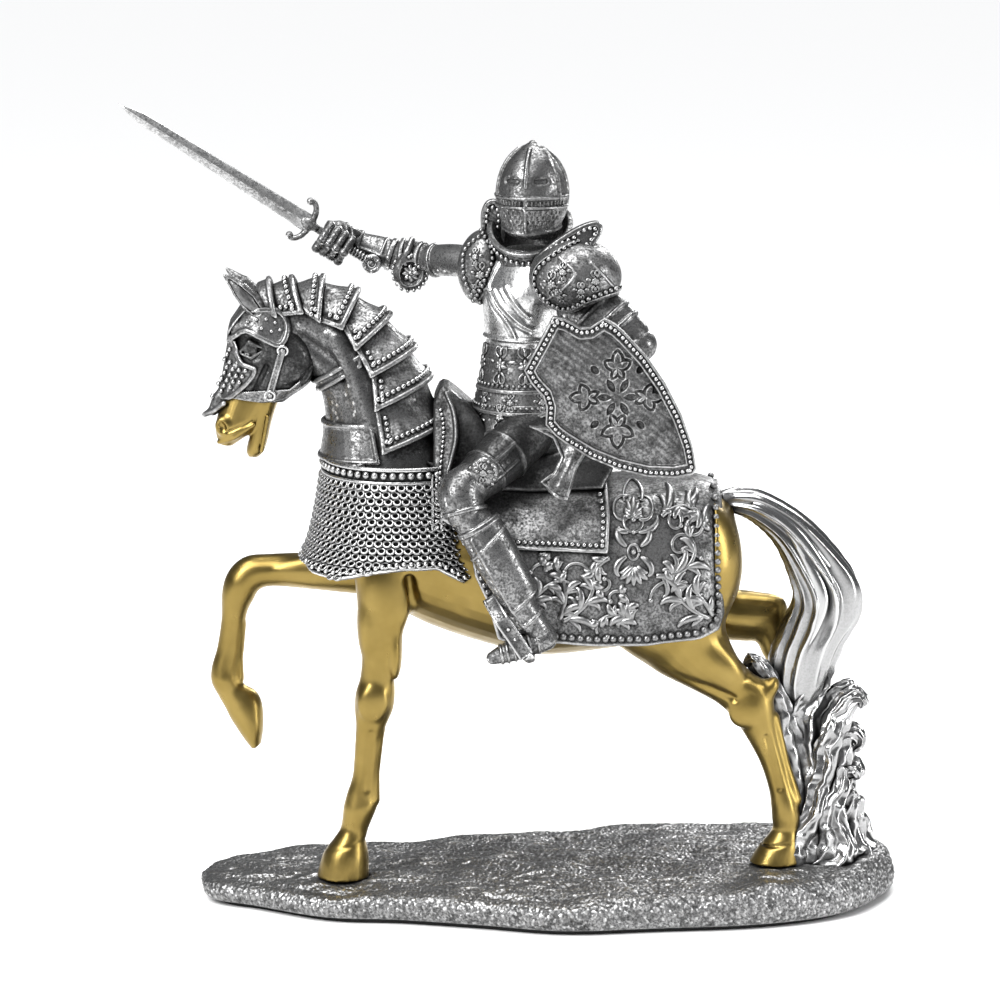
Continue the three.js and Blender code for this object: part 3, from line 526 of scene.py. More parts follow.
def antique(
    name, slot, bright, dark, wear, gloss, grain=0.25, pebble=0.0, recess=0.0032, polish_and_highlight=0.0, fleck=0.3
):
    """Silver paint over a dark wash, which stays in the recesses and is deepened there by painted shade;
    the raised edges are worn bright and carry a painted highlight.

    bright and dark are the greys of the paint and of the wash with its painted shade. wear is the share of
    the open surface that is bright, gloss the bright paint's roughness and grain the strength of the fine
    bumps.
    pebble is the scale of the pebbles, recess how wide a recess counts for the painted shade, in metres,
    polish_and_highlight the grey of the worn edges with their painted highlight and fleck how bright the
    fine dark flecks stay.
    """
    n = Nodes(name)
    # Painted shade: an occlusion mask darkens the recesses, over the dark wash that lies in them.
    clear_of_shade = n.ramp(n.hollows(recess), 0.4, 0.88)
    # Raised edges: worn paint with a painted highlight on it.
    rubbed_and_highlit = n.ramp(n.edges(), 0.515, 0.585)
    blotches = n.ramp(n.noise(240, 6, 0.7), 0.5 - wear * 0.34, 0.7 - wear * 0.3)
    speckle = n.ramp(n.noise(1250, 3), 0.38, 0.58, fleck, 1.0)
    patina = n.maths("MULTIPLY", n.maths("MAXIMUM", blotches, wear * 0.55), speckle)
    shown = n.maths("MULTIPLY", clear_of_shade, n.maths("ADD", patina, n.maths("MULTIPLY", rubbed_and_highlit, 0.5)))
    shown = n.ramp(shown, 0.0, 1.0)
    painted = n.mix(shown, grey(dark), grey(bright))
    # The raised edges take a lighter grey, worn paint with a painted highlight, kept out of the painted
    # shade.
    polished_and_highlit = grey(polish_and_highlight or min(0.7, bright * 2.4))
    n.set(n.shader.inputs["Base Color"], n.mix(n.maths("MULTIPLY", rubbed_and_highlit, clear_of_shade), painted, polished_and_highlit))
    n.set(n.shader.inputs["Metallic"], n.ramp(shown, 0.0, 0.5, 0.45, 1.0))
    n.set(n.shader.inputs["Specular IOR Level"], n.ramp(shown, 0.0, 0.5, 0.12, 0.5))
    n.set(n.shader.inputs["Roughness"], n.ramp(shown, 0.1, 1.0, 0.62, gloss))
    height = n.noise(900, 3)
    if pebble:
        height = n.maths(
            "ADD", n.maths("MULTIPLY", n.cells(pebble, "SMOOTH_F1"), -1.4),
            n.maths("MULTIPLY", height, 0.3)
        )
    n.bump(height, grain, 0.0004)
    return n.material, slot


def gold_paint(name, slot):
    """Satin gold that darkens a little in the hollows, which is painted shade."""
    n = Nodes(name)
    # Occlusion mask for the painted shade in the hollows.
    clear_of_shade = n.ramp(n.hollows(0.004), 0.25, 0.85)
    flow = n.ramp(n.noise(60, 3), 0.35, 0.7)
    bright = n.mix(flow, (0.225, 0.16, 0.047, 1), (0.28, 0.203, 0.065, 1))
    # Painted shade: the gold turns dark brown where the occlusion mask finds a hollow.
    n.set(n.shader.inputs["Base Color"], n.mix(clear_of_shade, (0.05, 0.032, 0.007, 1), bright))
    n.shader.inputs["Metallic"].default_value = 1.0
    n.set(n.shader.inputs["Roughness"], n.ramp(n.noise(140, 4), 0.3, 0.7, 0.27, 0.4))
    n.bump(n.noise(1400, 2), 0.05, 0.0002)
    return n.material, slot


def felt_cloth(name, slot):
    """Black felt with a fine fuzz."""
    n = Nodes(name)
    fuzz = n.ramp(n.noise(2600, 4), 0.3, 0.7)
    n.set(n.shader.inputs["Base Color"], n.mix(fuzz, grey(0.012), grey(0.035)))
    n.shader.inputs["Roughness"].default_value = 0.95
    n.bump(fuzz, 0.5, 0.0003)
    return n.material, slot


def plain_steel(name, slot):
    """Drawn steel wire."""
    n = Nodes(name)
    n.set(n.shader.inputs["Base Color"], n.mix(n.noise(800, 2), grey(0.5), grey(0.62)))
    n.shader.inputs["Metallic"].default_value = 1.0
    n.shader.inputs["Roughness"].default_value = 0.35
    return n.material, slot


# A lighter copy of the plate silver for the breastplate: its extra brightness is a painted highlight.
HIGHLIT_SILVER = antique("bright silver", "armour_silver", 0.66, 0.01, 0.85, 0.22, 0.08, fleck=0.6)
PLATE = antique("plate silver", "armour_silver", 0.26, 0.006, 0.64, 0.23, 0.12)
RELIEF = antique("relief silver", "armour_silver", 0.3, 0.006, 0.45, 0.28, 0.3, recess=0.0026)
CHAIN = antique("mail silver", "armour_silver", 0.33, 0.005, 0.7, 0.25, 0.1, recess=0.0018, polish_and_highlight=0.42)
ORNAMENT = antique(
    "ornament silver", "armour_silver", 0.2, 0.005, 0.55, 0.28, 0.2, recess=0.0022, polish_and_highlight=0.3
)
FIELD = antique("field silver", "armour_silver", 0.25, 0.01, 0.5, 0.34, 0.35)
AGED = antique("aged silver", "aged_silver", 0.22, 0.008, 0.55, 0.25, 0.25)
DARK = antique("dark silver", "aged_silver", 0.11, 0.006, 0.5, 0.3, 0.3)
STONE = antique("stone silver", "stone_silver", 0.3, 0.01, 0.55, 0.32, 0.9, pebble=900, recess=0.0024)
FLOW = antique("flowing silver", "wave_silver", 0.34, 0.012, 1.1, 0.2, 0.05, recess=0.0045, fleck=0.88)
BLADE = antique("blade silver", "blade_silver", 0.36, 0.03, 0.6, 0.3, 0.25)
GOLD = gold_paint("satin gold", "gold_paint")
FELT = felt_cloth("felt", "felt")
STEEL = plain_steel("steel", "pin_steel")


# ---------------------------------------------------------------------------------------------
# The horse's forms. Stations are upper x, z, lower x, z and half width, in the side view.
# ---------------------------------------------------------------------------------------------
GROUND_FRONT, GROUND_RISE, FRONT_HOOF_X = 10.6, 0.028, -70.0


def ground_at(x):
    """Height of the plinth's top, which rises towards the back."""
    return GROUND_FRONT + (x - FRONT_HOOF_X) * GROUND_RISE


BODY = [
    (64, 128, 64, 116, 4), (63, 133, 63.5, 110, 12), (60.5, 139, 62, 104, 18.5),
    (51, 143, 53, 97, 24.5), (36, 144, 36, 91, 28), (17, 143.5, 17, 87.5, 29.5),
    (-3, 142.5, -4, 85.7, 30), (-20, 144.5, -19, 89, 28.5), (-34, 149, -34, 93.5, 26),
    (-48, 152, -47, 99, 24), (-62, 152, -60, 108, 21.5), (-72, 148, -70, 117, 16.5),
    (-77, 140, -75.5, 124, 8), (-78, 134, -77.5, 129, 3),
]
NECK = [
    (-98, 211.5, -94, 203, 5.4), (-90, 212, -84, 186, 7.5), (-76, 212.5, -78.8, 180, 9.4),
    (-62.5, 206, -77.2, 175.5, 10.8), (-52, 196, -76.2, 169.5, 12.8), (-44.5, 183.5, -76.2, 162, 15.5),
    (-39, 170, -77.5, 153, 18.5), (-33, 158, -77.5, 143, 21), (-26, 146, -76, 134, 22),
]
TAIL = [
    (58, 142, 60, 135.4, 4), (64, 142.6, 63, 134.8, 5), (72.5, 141.2, 69.6, 131.6, 6.2),
    (84.8, 133.8, 77, 124.4, 7.6), (95.4, 123.2, 82.2, 113, 9), (103.8, 111, 84, 104, 10),
    (104.6, 99.8, 81, 96, 10), (99, 88.4, 77.4, 86.4, 9.4), (95, 76.4, 76.4, 77.4, 7.8),
    (92, 68.4, 79, 70, 5.4), (89, 64, 82, 66, 2.4),
]
FORE_LEFT = [
    (-67, 124, -43, 124, 6), (-66.6, 119, -44, 119, 7.4), (-65.8, 112.5, -46, 112.5, 8),
    (-65, 104, -47.4, 104, 7.6), (-64.2, 96, -49.6, 96, 6.9), (-63.8, 89, -51.2, 89, 6),
    (-64.4, 81, -52.6, 81, 5.3), (-66, 75.3, -52.6, 75.3, 5.7), (-66.4, 70, -53.2, 70, 5.6),
    (-66, 64.6, -55.4, 64.6, 4.6), (-66.2, 60, -57.2, 60, 4), (-66.5, 54.8, -57.8, 54.8, 3.8),
    (-67.2, 46.4, -58.8, 46.4, 3.8), (-69.2, 40, -59.2, 40, 4.3), (-70.4, 35.4, -59, 35.4, 5),
    (-70.8, 31.6, -60.4, 31.6, 4.7), (-71.6, 27.6, -62, 27.6, 4.3), (-74, 23.8, -62.8, 23.8, 5.4),
    (-76.6, 20.4, -62.2, 20.4, 7), (-78.2, 16.6, -61.8, 16.6, 7.9),
    (-79.6, ground_at(-71) + 0.3, -61.8, ground_at(-71) + 0.3, 8.6),
]
FORE_RIGHT = [
    (-50, 118, -50, 101, 6.4), (-58, 118.6, -56, 102, 7.8), (-72, 117.8, -71, 103.4, 7.4),
    (-86, 117.2, -85, 104.8, 6.4), (-96, 116.8, -95, 105.6, 5.6), (-104.4, 116, -99.8, 104.4, 5.7),
    (-110, 111.6, -102, 100.8, 5.9), (-112.8, 104.6, -103.8, 97.4, 5.2),
    (-113.2, 94.4, -105, 92.8, 4.1), (-114.8, 84, -106, 84, 3.8), (-116.8, 77, -107.2, 77.2, 4.3),
    (-117, 71.6, -107.4, 73.4, 4.9), (-114.6, 66.6, -105.6, 70.6, 4.4),
    (-112.4, 62.6, -101.6, 68.2, 4.9), (-110.4, 58.4, -99.4, 63.8, 5.6), (-106.6, 52.4, -99, 56.4, 5.8),
    (-103.4, 48, -99.8, 50, 4.6),
]
HIND_LEFT = [
    (60, 120, 22, 114, 12), (59, 108, 22.6, 100, 12.4), (59.6, 97, 26.6, 90.4, 11.2),
    (63.6, 87.4, 36, 82.4, 8.8), (68.8, 81.4, 49, 75.6, 6.8), (73.6, 78.4, 57.6, 70.6, 5.8),
    (76, 72.6, 63.4, 64.4, 5.6), (77, 63, 68.4, 56.6, 4.6), (79.4, 53, 72.2, 49, 4),
    (82.2, 43, 74.8, 40.8, 4), (84.6, 36.4, 75.6, 35.4, 4.8), (85.6, 31.4, 76, 31, 5),
    (85.4, 27.2, 76.2, 27, 4.6), (85.8, 24, 74.4, 24, 5.6), (86.2, 20.6, 71.6, 20.6, 7),
    (86.6, ground_at(78) + 0.3, 68.4, ground_at(78) + 0.3, 8.2),
]
HIND_RIGHT = [
    (50, 122, 34, 104, 10), (54, 115, 44, 93, 10.6), (62, 105.6, 58, 87.6, 8.8),
    (70.4, 103.8, 67, 86.4, 7.4), (80.4, 101.6, 71.4, 86, 6.2), (82.6, 94, 73.6, 82, 5.4),
    (82.2, 84, 75.2, 78.6, 4.4), (82.4, 72, 76.4, 70.6, 4), (82.6, 60, 76.6, 60, 4),
    (83.8, 53.4, 76.4, 53.4, 4.8), (86, 48, 79, 45.8, 4.4), (88.6, 43.6, 80.6, 39.8, 5.4),
    (90, 37, 84.4, 32.4, 5), (89.4, 33, 86.4, 30.4, 3.4),
]
CLOTH_FORM = [
    (60.6, 140, 60.6, 60, 12), (59.4, 142, 59.4, 60, 20), (56, 145.6, 56, 60, 26.8),
    (47, 147.8, 47, 60, 31), (30, 148, 30, 60, 33.4), (12, 147.4, 12, 60, 34),
    (-6, 147.4, -6, 60, 33.8), (-22, 149.4, -22, 60, 32.4), (-34, 153, -34, 60, 30.6),
    (-46, 154.6, -46, 60, 29.4),
]
LEGS = {
    "fore_leg_left": (FORE_LEFT, -16),
    "fore_leg_right": (FORE_RIGHT, 15),
    "hind_leg_left": (HIND_LEFT, -13),
    "hind_leg_right": (HIND_RIGHT, 14),
}


def make_gold_horse():
    """The trunk and legs are one flowing surface, parted into its castings afterwards."""
    clay = Clay((-122, -36, 9), (94, 36, 156), 0.55, 4.4)
    clay.add(profile(BODY, steps=4))
    trunk = clay.field.copy()
    fields = {"horse_body": trunk}
    for name, (stations, y) in LEGS.items():
        leg = clay.copy()
        leg.field[:] = leg.reach
        leg.add(profile(stations, y, steps=4, sides=28))
        fields[name] = leg.field
    clay.field = trunk.copy()
    for name in LEGS:
        clay.field = smooth_min(clay.field, fields[name], 3.6 if "left" in name else 3.0)
    add_muscles(clay)
    keep_under_cloth(clay)
    add_tendons(clay)
    fold_skin(clay)
    crease_hooves(clay)
    part_castings(clay, fields)


def add_muscles(clay):
    """Buttock and thigh of each hind leg, then the forearms, an elbow and the stifle."""
    for side, _ in SIDES:
        clay.ball((50, side * 15, 120), (14, 12, 22), 5)
        clay.ball((34, side * 17, 104), (15, 10, 15), 5)
    clay.ball((-55, -20.5, 108), (7.6, 3.6, 13), 3, lean=-6)
    clay.ball((-61.5, -18.5, 98), (3.4, 5, 9), 3)
    clay.ball((-52.5, -19.6, 90), (2.4, 4, 9), 2.4)
    clay.ball((-78, 10.6, 112), (14, 3, 5), 3)
    clay.ball((57, -17.5, 86), (9, 4, 5.4), 3, lean=-38)


def keep_under_cloth(clay):
    """Under the cloth the trunk keeps a gap to it."""
    x, _, z = clay.coordinates()
    cover = clay.copy()
    cover.field[:] = cover.reach
    cover.add(profile(CLOTH_FORM, steps=5, sides=72, power=2.5))
    free = smooth_step((102 - z) / 6) + smooth_step((x - 54) / 4) + smooth_step((-22 - x) / 6)
    clay.keep(cover.field + 2.2 - 20 * free, 1.0)


def add_tendons(clay):
    """Tendons and bones stand out on the cannons; hollows part them."""
    clay.path([(-57.8, -16, 62, 1.5), (-59.4, -16, 48, 1.4), (-60, -16, 38, 2.1)], 1.4)
    clay.path([(-60.8, -20.4, 62, 0.8), (-62, -20.2, 42, 0.7)], 1.2, away=True)
    clay.path([(76.4, -13, 66, 1.8), (80.4, -13, 50, 1.5), (84, -13, 37, 2.2)], 1.4)
    clay.path([(73.6, -17.4, 60, 0.9), (78.2, -17.2, 42, 0.8)], 1.2, away=True)
    clay.path([(-106.4, 15, 92, 1.5), (-107.4, 15, 80, 1.5), (-107.8, 15, 73, 2.2)], 1.4)
    clay.ball((-60.2, -20.2, 72.6), (4.4, 1.8, 5.2), 2.6)
    clay.ball((75, -13, 76.4), (2.6, 3.2, 4), 2.2, lean=-30)
    clay.ball((65.6, -17.0, 68.6), (4.6, 2, 5), 2.4, lean=-34)


def fold_skin(clay):
    """Folds of skin behind the elbow and along the belly."""
    for x, z in ((-37, 97), (-27, 94)):
        clay.path(
            [(x - 3.6, -26.6, z + 12, 0.8), (x, -25.4, z + 3, 1.0), (x + 3.4, -21, z - 4, 0.5)], 4.4,
            away=True
        )
    clay.path([(-47.5, -21.5, 116, 1.6), (-46, -19, 104, 1.2), (-49, -17, 96, 0.7)], 2.4, away=True)
    clay.path([(20, -24, 92, 1.2), (29, -25, 101, 1.7), (34, -27, 110, 1.4)], 3, away=True)
    clay.path([(42, -21, 81.6, 0.8), (54, -19.4, 77.6, 0.9), (62, -18.4, 74, 0.7)], 2, away=True)


def crease_hooves(clay):
    """A crease under the coronet of each standing hoof."""
    for x, y, z, half_x, half_y in ((-69.6, -16, 22.6, 7.2, 6.4), (80, -13, 22.6, 7, 6.4)):
        turn = np.linspace(0, 2 * math.pi, 22)
        loop = [
            (x + half_x * math.cos(a), y + half_y * math.sin(a), z + 1.4 * math.cos(a), 0.45) for a in turn
        ]
        clay.path(loop, 0.8, away=True)


def part_castings(clay, fields):
    """Each face of the joined surface goes to the casting whose own form lies deepest there."""
    points, quads = clay.mesh()
    index = np.clip(
        ((points[quads].mean(1) - clay.low) / clay.cell).round().astype(int), 0,
        np.array(clay.field.shape) - 1
    )
    names = list(fields)
    depth = np.stack([fields[name][index[:, 0], index[:, 1], index[:, 2]] for name in names], 1)
    depth[:, 0] -= 0.6
    owner = depth.argmin(1)
    whole = blender_mesh("whole", points, [quads])
    normals = np.zeros(len(points) * 3, np.float32)
    whole.vertices.foreach_get("normal", normals)
    normals = normals.reshape(-1, 3)
    for i, name in enumerate(names):
        mine = quads[owner == i]
        used, compact = np.unique(mine, return_inverse=True)
        obj = piece(name + "_cast", points[used], [compact.reshape(mine.shape)], GOLD, [name])
        obj.data.normals_split_custom_set_from_vertices(normals[used])
    bpy.data.meshes.remove(whole)


def box_mm(node):
    """Lowest and highest corners of a CAD node, in millimetres."""
    low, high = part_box(node)
    return np.array(low) / MM, np.array(high) / MM


def fluted(centres, across, up, waves, depth, twist, sides=120, seed=3, pinch=0.0):
    """Rings of a fluted body: waves holds the numbers of flutes round it, wide to narrow.

    depth is how deep they are cut, twist how far they wind round from end to end, and pinch keeps
    some of that depth at the ends.
    """
    source = random.Random(seed)
    count = len(centres)
    angle = np.linspace(0, 2 * math.pi, sides, endpoint=False)[None, :]
    s = np.linspace(0, 1, count)[:, None]
    ridge = np.zeros((count, sides))
    for number in waves:
        phase, drift = source.uniform(0, 6.28), source.uniform(-1, 1)
        wander = 0.5 * drift * np.sin(3 * s + phase)
        ridge += np.sin(number * (angle + twist * s + wander) + phase) / len(waves)
    sharp = 1 - 2 * np.abs(ridge)
    fade = np.minimum(1, np.minimum(s * 12, (1 - s) * 8) + pinch)
    scale = 1 + depth * sharp * fade
    c, n = np.cos(angle) * scale, np.sin(angle) * scale
    return centres[:, None] + c[:, :, None] * across[:, None] + n[:, :, None] * up[:, None]


TAIL_LOCKS = 8


def make_tail():
    """The tail: a fluted body with separate locks that lie along its outside."""
    s = spline([list(row) for row in TAIL], 14)
    zero = np.zeros(len(s))
    centre = np.stack([(s[:, 0] + s[:, 2]) / 2, zero, (s[:, 1] + s[:, 3]) / 2], 1)
    across = np.stack([zero, np.maximum(s[:, 4], 0.3), zero], 1)
    up = np.stack([(s[:, 0] - s[:, 2]) / 2, zero, (s[:, 1] - s[:, 3]) / 2], 1)
    points, quads, triangles = skin(fluted(centre, across, up, (3, 5, 7), 0.2, 1.3, 160))
    quads, triangles = outward(points, quads, triangles)
    heap = Heap()
    heap.put(points, quads, triangles)
    # Separate locks lie along the outside and sweep off the end.
    source = random.Random(11)
    for _ in range(TAIL_LOCKS):
        start = source.uniform(0.06, 0.5)
        stop = min(1.0, start + source.uniform(0.3, 0.55))
        at = np.linspace(start, stop, 44) * (len(s) - 1)
        i = at.astype(int).clip(0, len(s) - 2)
        t = (at - i)[:, None]
        c = centre[i] * (1 - t) + centre[i + 1] * t
        a = across[i] * (1 - t) + across[i + 1] * t
        u = up[i] * (1 - t) + up[i + 1] * t
        around = source.uniform(0, 6.28) + np.linspace(0, source.uniform(-0.9, 0.9), 44)
        lift = 0.97 + 0.06 * np.sin(np.linspace(0, 3.14, 44))
        line = c + (np.cos(around) * lift)[:, None] * a + (np.sin(around) * lift)[:, None] * u
        taper = np.sin(np.linspace(0.12, 3.06, 44)) ** 0.6
        heap.rod(line, 0.25 + source.uniform(1.2, 2.1) * taper, (line - c), 0.5, 10)
    heap.piece("tail_cast", FLOW, ["tail"])


# Tongues of the wave that carries the tail: x, y, z, half width in the side view, half depth.
WAVE_TONGUES = [
    [
        (97, -4, 12, 12, 9), (93.5, -3, 22, 10.4, 8), (90.5, -2, 34, 9.4, 7.4), (88.6, -2, 48, 8.6, 7),
        (87.4, -1, 60, 7.6, 6.6), (88.6, 0, 70, 6.4, 6), (92.6, 0, 76.6, 3.6, 4.2),
        (94, 0, 79, 1.2, 1.6),
    ],
    [
        (88, -8, 12, 6, 4.6), (86.4, -7, 26, 5.6, 4.4), (84, -6, 42, 5.2, 4.2), (80, -6, 58, 4.6, 4),
        (76.6, -6, 70, 4, 3.6), (73, -6, 79.6, 3.4, 3), (69.2, -6.4, 84.6, 2.2, 2.2),
        (66.2, -7, 82.8, 1, 1.2),
    ],
    [
        (102, 0, 12, 10.6, 8), (98.6, 0, 24, 7, 7), (97, 0, 38, 6, 6), (96, 0, 52, 5.4, 5.4),
        (95.6, 0, 62, 4.8, 5), (97.6, 0, 69, 4, 4), (101.6, 0, 72.4, 2.6, 3), (104.4, 0, 70.6, 1, 1.4),
    ],
    [
        (96, 2, 26, 7, 5), (99, 0, 37, 5.4, 5), (101.6, -2, 44.6, 4, 4.6), (104.4, -3, 45.8, 3, 3.8),
        (106.4, -3, 42.8, 1.9, 2.6), (104.8, -3, 40.8, 0.9, 1.3),
    ],
    [
        (95, -2, 38, 6, 5), (98, -3, 49, 4.6, 5), (100.8, -4, 56.2, 3.8, 4.4),
        (104.2, -4, 57.6, 2.8, 3.6), (106.4, -4, 54.6, 1.8, 2.6), (104.8, -4, 52.4, 0.9, 1.3),
    ],
    [
        (100, 4, 11, 11, 7.6), (104, 2, 20, 6.4, 5.4), (102.6, 0, 29, 4.8, 4.8),
        (104, -2, 35.4, 3.2, 3.4), (106.6, -2, 35.6, 1.4, 1.8),
    ],
    [
        (84, -13, 12, 7, 4), (86, -12, 22, 5, 4.4), (90.6, -10, 33, 4, 4), (93, -9, 45, 4.6, 4),
        (96.4, -8, 56, 4, 4), (99.6, -6, 66, 3.6, 4), (103.4, -5, 71.4, 2.8, 3.4),
        (106.6, -5, 70.4, 1.9, 2.6), (106, -5, 67.4, 0.9, 1.3),
    ],
    [
        (96, -12, 12, 8, 4), (97.4, -11, 21, 5, 4), (95.4, -10, 31, 3.6, 3.6), (99, -9, 40, 3, 3),
        (101, -8, 47, 1.4, 1.6),
    ],
    [
        (90, 8, 12, 9, 5), (89.6, 7.4, 26, 6.6, 5), (88, 7, 42, 5.6, 4.6), (86, 6, 56, 4.6, 4),
        (84.6, 5, 67, 3, 3), (86, 5, 74, 1, 1.4),
    ],
]


WAVE_CHURN = (0.11, 1.7)  # how often the water's surface turns per mm, and how far it is pushed in mm


def make_wave():
    """Flutes of water rise from the plinth, some ending in curls."""
    heap = Heap()
    for k, tongue in enumerate(WAVE_TONGUES):
        s = spline([list(row) for row in tongue], 16)
        line = s[:, :3]
        ahead = np.gradient(line, axis=0)
        ahead /= np.linalg.norm(ahead, axis=1)[:, None]
        depth = np.array([0.0, 1.0, 0.0])
        across = np.cross(ahead, depth)
        across /= np.linalg.norm(across, axis=1)[:, None]
        up = np.cross(across, ahead)
        rings = fluted(
            line, across * s[:, 3:4], up * s[:, 4:5], (2, 3, 5), 0.3, 1.5, 110, seed=20 + k, pinch=0.6
        )
        points, quads, triangles = skin(rings)
        churn = [noise.turbulence_vector(Vector(p) * WAVE_CHURN[0], 3, False) for p in points]
        points = points + (np.array(churn) - np.mean(churn, 0)) * WAVE_CHURN[1]
        quads, triangles = outward(points, quads, triangles)
        heap.put(points, quads, triangles)
    heap.piece("wave_cast", FLOW, ["wave_support"])


# ---------------------------------------------------------------------------------------------
# Plinth
# ---------------------------------------------------------------------------------------------
PLINTH = [
    (-119, 3), (-115.5, -13), (-101, -21), (-76, -35), (-51, -38), (-24, -44), (4, -51), (34, -48),
    (71, -43), (98, -31), (113, -11), (118, 8), (110, 28), (84, 42), (48, 45), (8, 40), (-36, 33),
    (-76, 28), (-108, 20),
]
FELT_TOP = 1.2
PEBBLE_SCALE, PEBBLE_REACH, PEBBLE_HEIGHT = 0.62, 0.62, 1.5


def make_plinth():
    """The rock plinth: low ridges on its top and pebbles round its sides."""
    clay = Clay((-123, -55, 1.5), (122, 50, 22), 0.6, 5)
    x, y, z = clay.coordinates()
    edge = outline_distance(PLINTH, x, y, steps=6)
    # Low ridges like drifts run along the top, highest towards the back.
    flat_x, flat_y = x[:, :, 0], y[:, :, 0]
    drift = 1.5 * np.sin(flat_x * 0.075 + 1.3 * np.sin(flat_y * 0.11) + 0.6) * np.sin(
        flat_y * 0.17 + 0.03 * flat_x
    )
    drift = drift + 0.8 * np.sin(flat_x * 0.19 + flat_y * 0.24) * np.cos(flat_y * 0.33 - flat_x * 0.05)
    rough = np.zeros(drift.shape)
    for i in range(drift.shape[0]):
        for j in range(0, drift.shape[1], 2):
            place = Vector((clay.axes[0][i] * 0.05, clay.axes[1][j] * 0.3, 0.7))
            rough[i, j : j + 2] = noise.turbulence(place, 4, True) * 1.5
    hooves = ((-70.5, -16, 11), (77.5, -13, 12), (95, 0, 18))
    for hoof_x, hoof_y, reach in hooves:
        near = np.clip(1 - np.hypot(flat_x - hoof_x, flat_y - hoof_y) / reach, 0, 1)
        drift = drift * (1 - near)
        rough = rough * (1 - 0.8 * near)
    top = ground_at(flat_x) - 1.1 + 0.75 * drift + rough * np.clip(-edge[:, :, 0] / 9, 0.15, 1)
    shore = (edge[:, :, 0] + 7 + 2.2 * np.sin(flat_x * 0.09)) / 1.5
    top = top - 1.7 * np.exp(-(shore**2)) * smooth_step(-flat_y / 14) * (
        0.55 + 0.45 * np.sin(flat_x * 0.055 + 1)
    )
    swell = 1.4 * np.sin(z / 12 * math.pi)
    solid = smooth_max(edge - swell, z - top[:, :, None], 4.4)
    clay.field = np.clip(smooth_max(solid, FELT_TOP + 0.3 - z, 1.2), -clay.reach, clay.reach).astype(
        np.float32
    )
    points, quads = clay.mesh()
    # Pebbles cover the sides and thin out over the top.
    for i, p in enumerate(points):
        near, _ = noise.voronoi(Vector(p) * PEBBLE_SCALE)
        pebble = max(0.0, PEBBLE_REACH - near[0])
        side = min(1.0, max(0.12, (ground_at(p[0]) + 0.4 - p[2]) / 3.2))
        centre = Vector((p[0] * 0.7, p[1] * 0.6, 0))
        out = (Vector(p) - centre).normalized()
        low_edge = min(1.0, max(0.0, (p[2] - 2.0) / 1.5))
        points[i] += np.array(out) * pebble * PEBBLE_HEIGHT * side * low_edge
    piece("plinth_cast", points, [quads], STONE, ["base"])


def make_felt():
    """The felt under the plinth, cut to the plinth's outline."""
    low, high = box_mm("felt_pad")
    ring = spline(np.array(PLINTH + [PLINTH[0]], float), 8)[:-1] * (high[0] - low[0]) / 237.0
    rings = np.stack([np.column_stack([ring, np.full(len(ring), h)]) for h in (0.0, 0.4, 0.9, FELT_TOP)])
    points, quads, triangles = skin(rings)
    quads, triangles = outward(points, quads, triangles)
    piece("felt_cloth", points, [quads, triangles], FELT, ["felt_pad"])


def make_hoof_pins():
    """A chamfered pin inside each standing hoof."""
    for name in ("hoof_pin_front", "hoof_pin_rear"):
        low, high = box_mm(name)
        middle, radius = (low + high) / 2, (high[0] - low[0]) / 2
        heap = Heap()
        chamfer = 0.4
        heights = [low[2], low[2] + chamfer, high[2] - chamfer, high[2]]
        line = [(middle[0], middle[1], h) for h in heights]
        heap.rod(line, [radius - chamfer, radius, radius, radius - chamfer], sides=24)
        heap.piece(name + "_rod", STEEL, [name])


# ---------------------------------------------------------------------------------------------
# Camera, light and floor
# ---------------------------------------------------------------------------------------------
TARGET = Vector((-0.017, 0.0, 0.1388))
CAMERA_DISTANCE, CAMERA_HEIGHT_DEGREES, LENS = 1.5, 11.5, 158.8
SUN_POWER, SUN_SPREAD_DEGREES = 3.2, 45
FLOOR_GREY, SKY_COLOUR, SKY_POWER = 0.93, (0.9, 0.92, 0.95, 1), 0.2
# Soft boxes: name, place, width, height and power in watts.
SOFT_BOXES = (
    ("key", (-0.85, -0.8, 0.75), 0.28, 0.6, 13), ("side", (1.0, -0.45, 0.4), 0.16, 0.8, 7),
    ("top", (0.1, 0.15, 1.0), 0.5, 0.5, 6), ("rim", (0.4, 0.8, 0.6), 0.25, 0.5, 6),
)


def look_at(obj, target):
    """Turns an object so that its -Z looks at a point."""
    obj.rotation_euler = (target - obj.location).to_track_quat("-Z", "Y").to_euler()


def area_light(name, place, width, height, power):
    """A soft box aimed at the statuette."""
    light = bpy.data.lights.new(name, "AREA")
    light.shape = "RECTANGLE"
    light.size, light.size_y = width, height
    light.energy = power
    obj = bpy.data.objects.new(name, light)
    obj.location = place
    look_at(obj, TARGET)
    bpy.context.scene.collection.objects.link(obj)


def make_camera(scene):
    """The camera, level with the middle of the statuette's left side and a little above it."""
    camera = bpy.data.objects.new("camera", bpy.data.cameras.new("camera"))
    height = math.radians(CAMERA_HEIGHT_DEGREES)
    away = Vector((0, -math.cos(height), math.sin(height))) * CAMERA_DISTANCE
    camera.location = TARGET + away
    look_at(camera, TARGET)
    camera.data.lens = LENS
    camera.data.clip_start, camera.data.clip_end = 0.05, 50
    scene.collection.objects.link(camera)
    scene.camera = camera


def make_floor():
    """A pale floor that also fills the background."""
    bpy.ops.mesh.primitive_plane_add(size=12, location=(0, 0, 0))
    floor = bpy.context.object
    floor.name = "floor"
    pale = Nodes("pale floor")
    pale.shader.inputs["Base Color"].default_value = grey(FLOOR_GREY)
    pale.shader.inputs["Roughness"].default_value = 0.9
    floor.data.materials.append(pale.material)


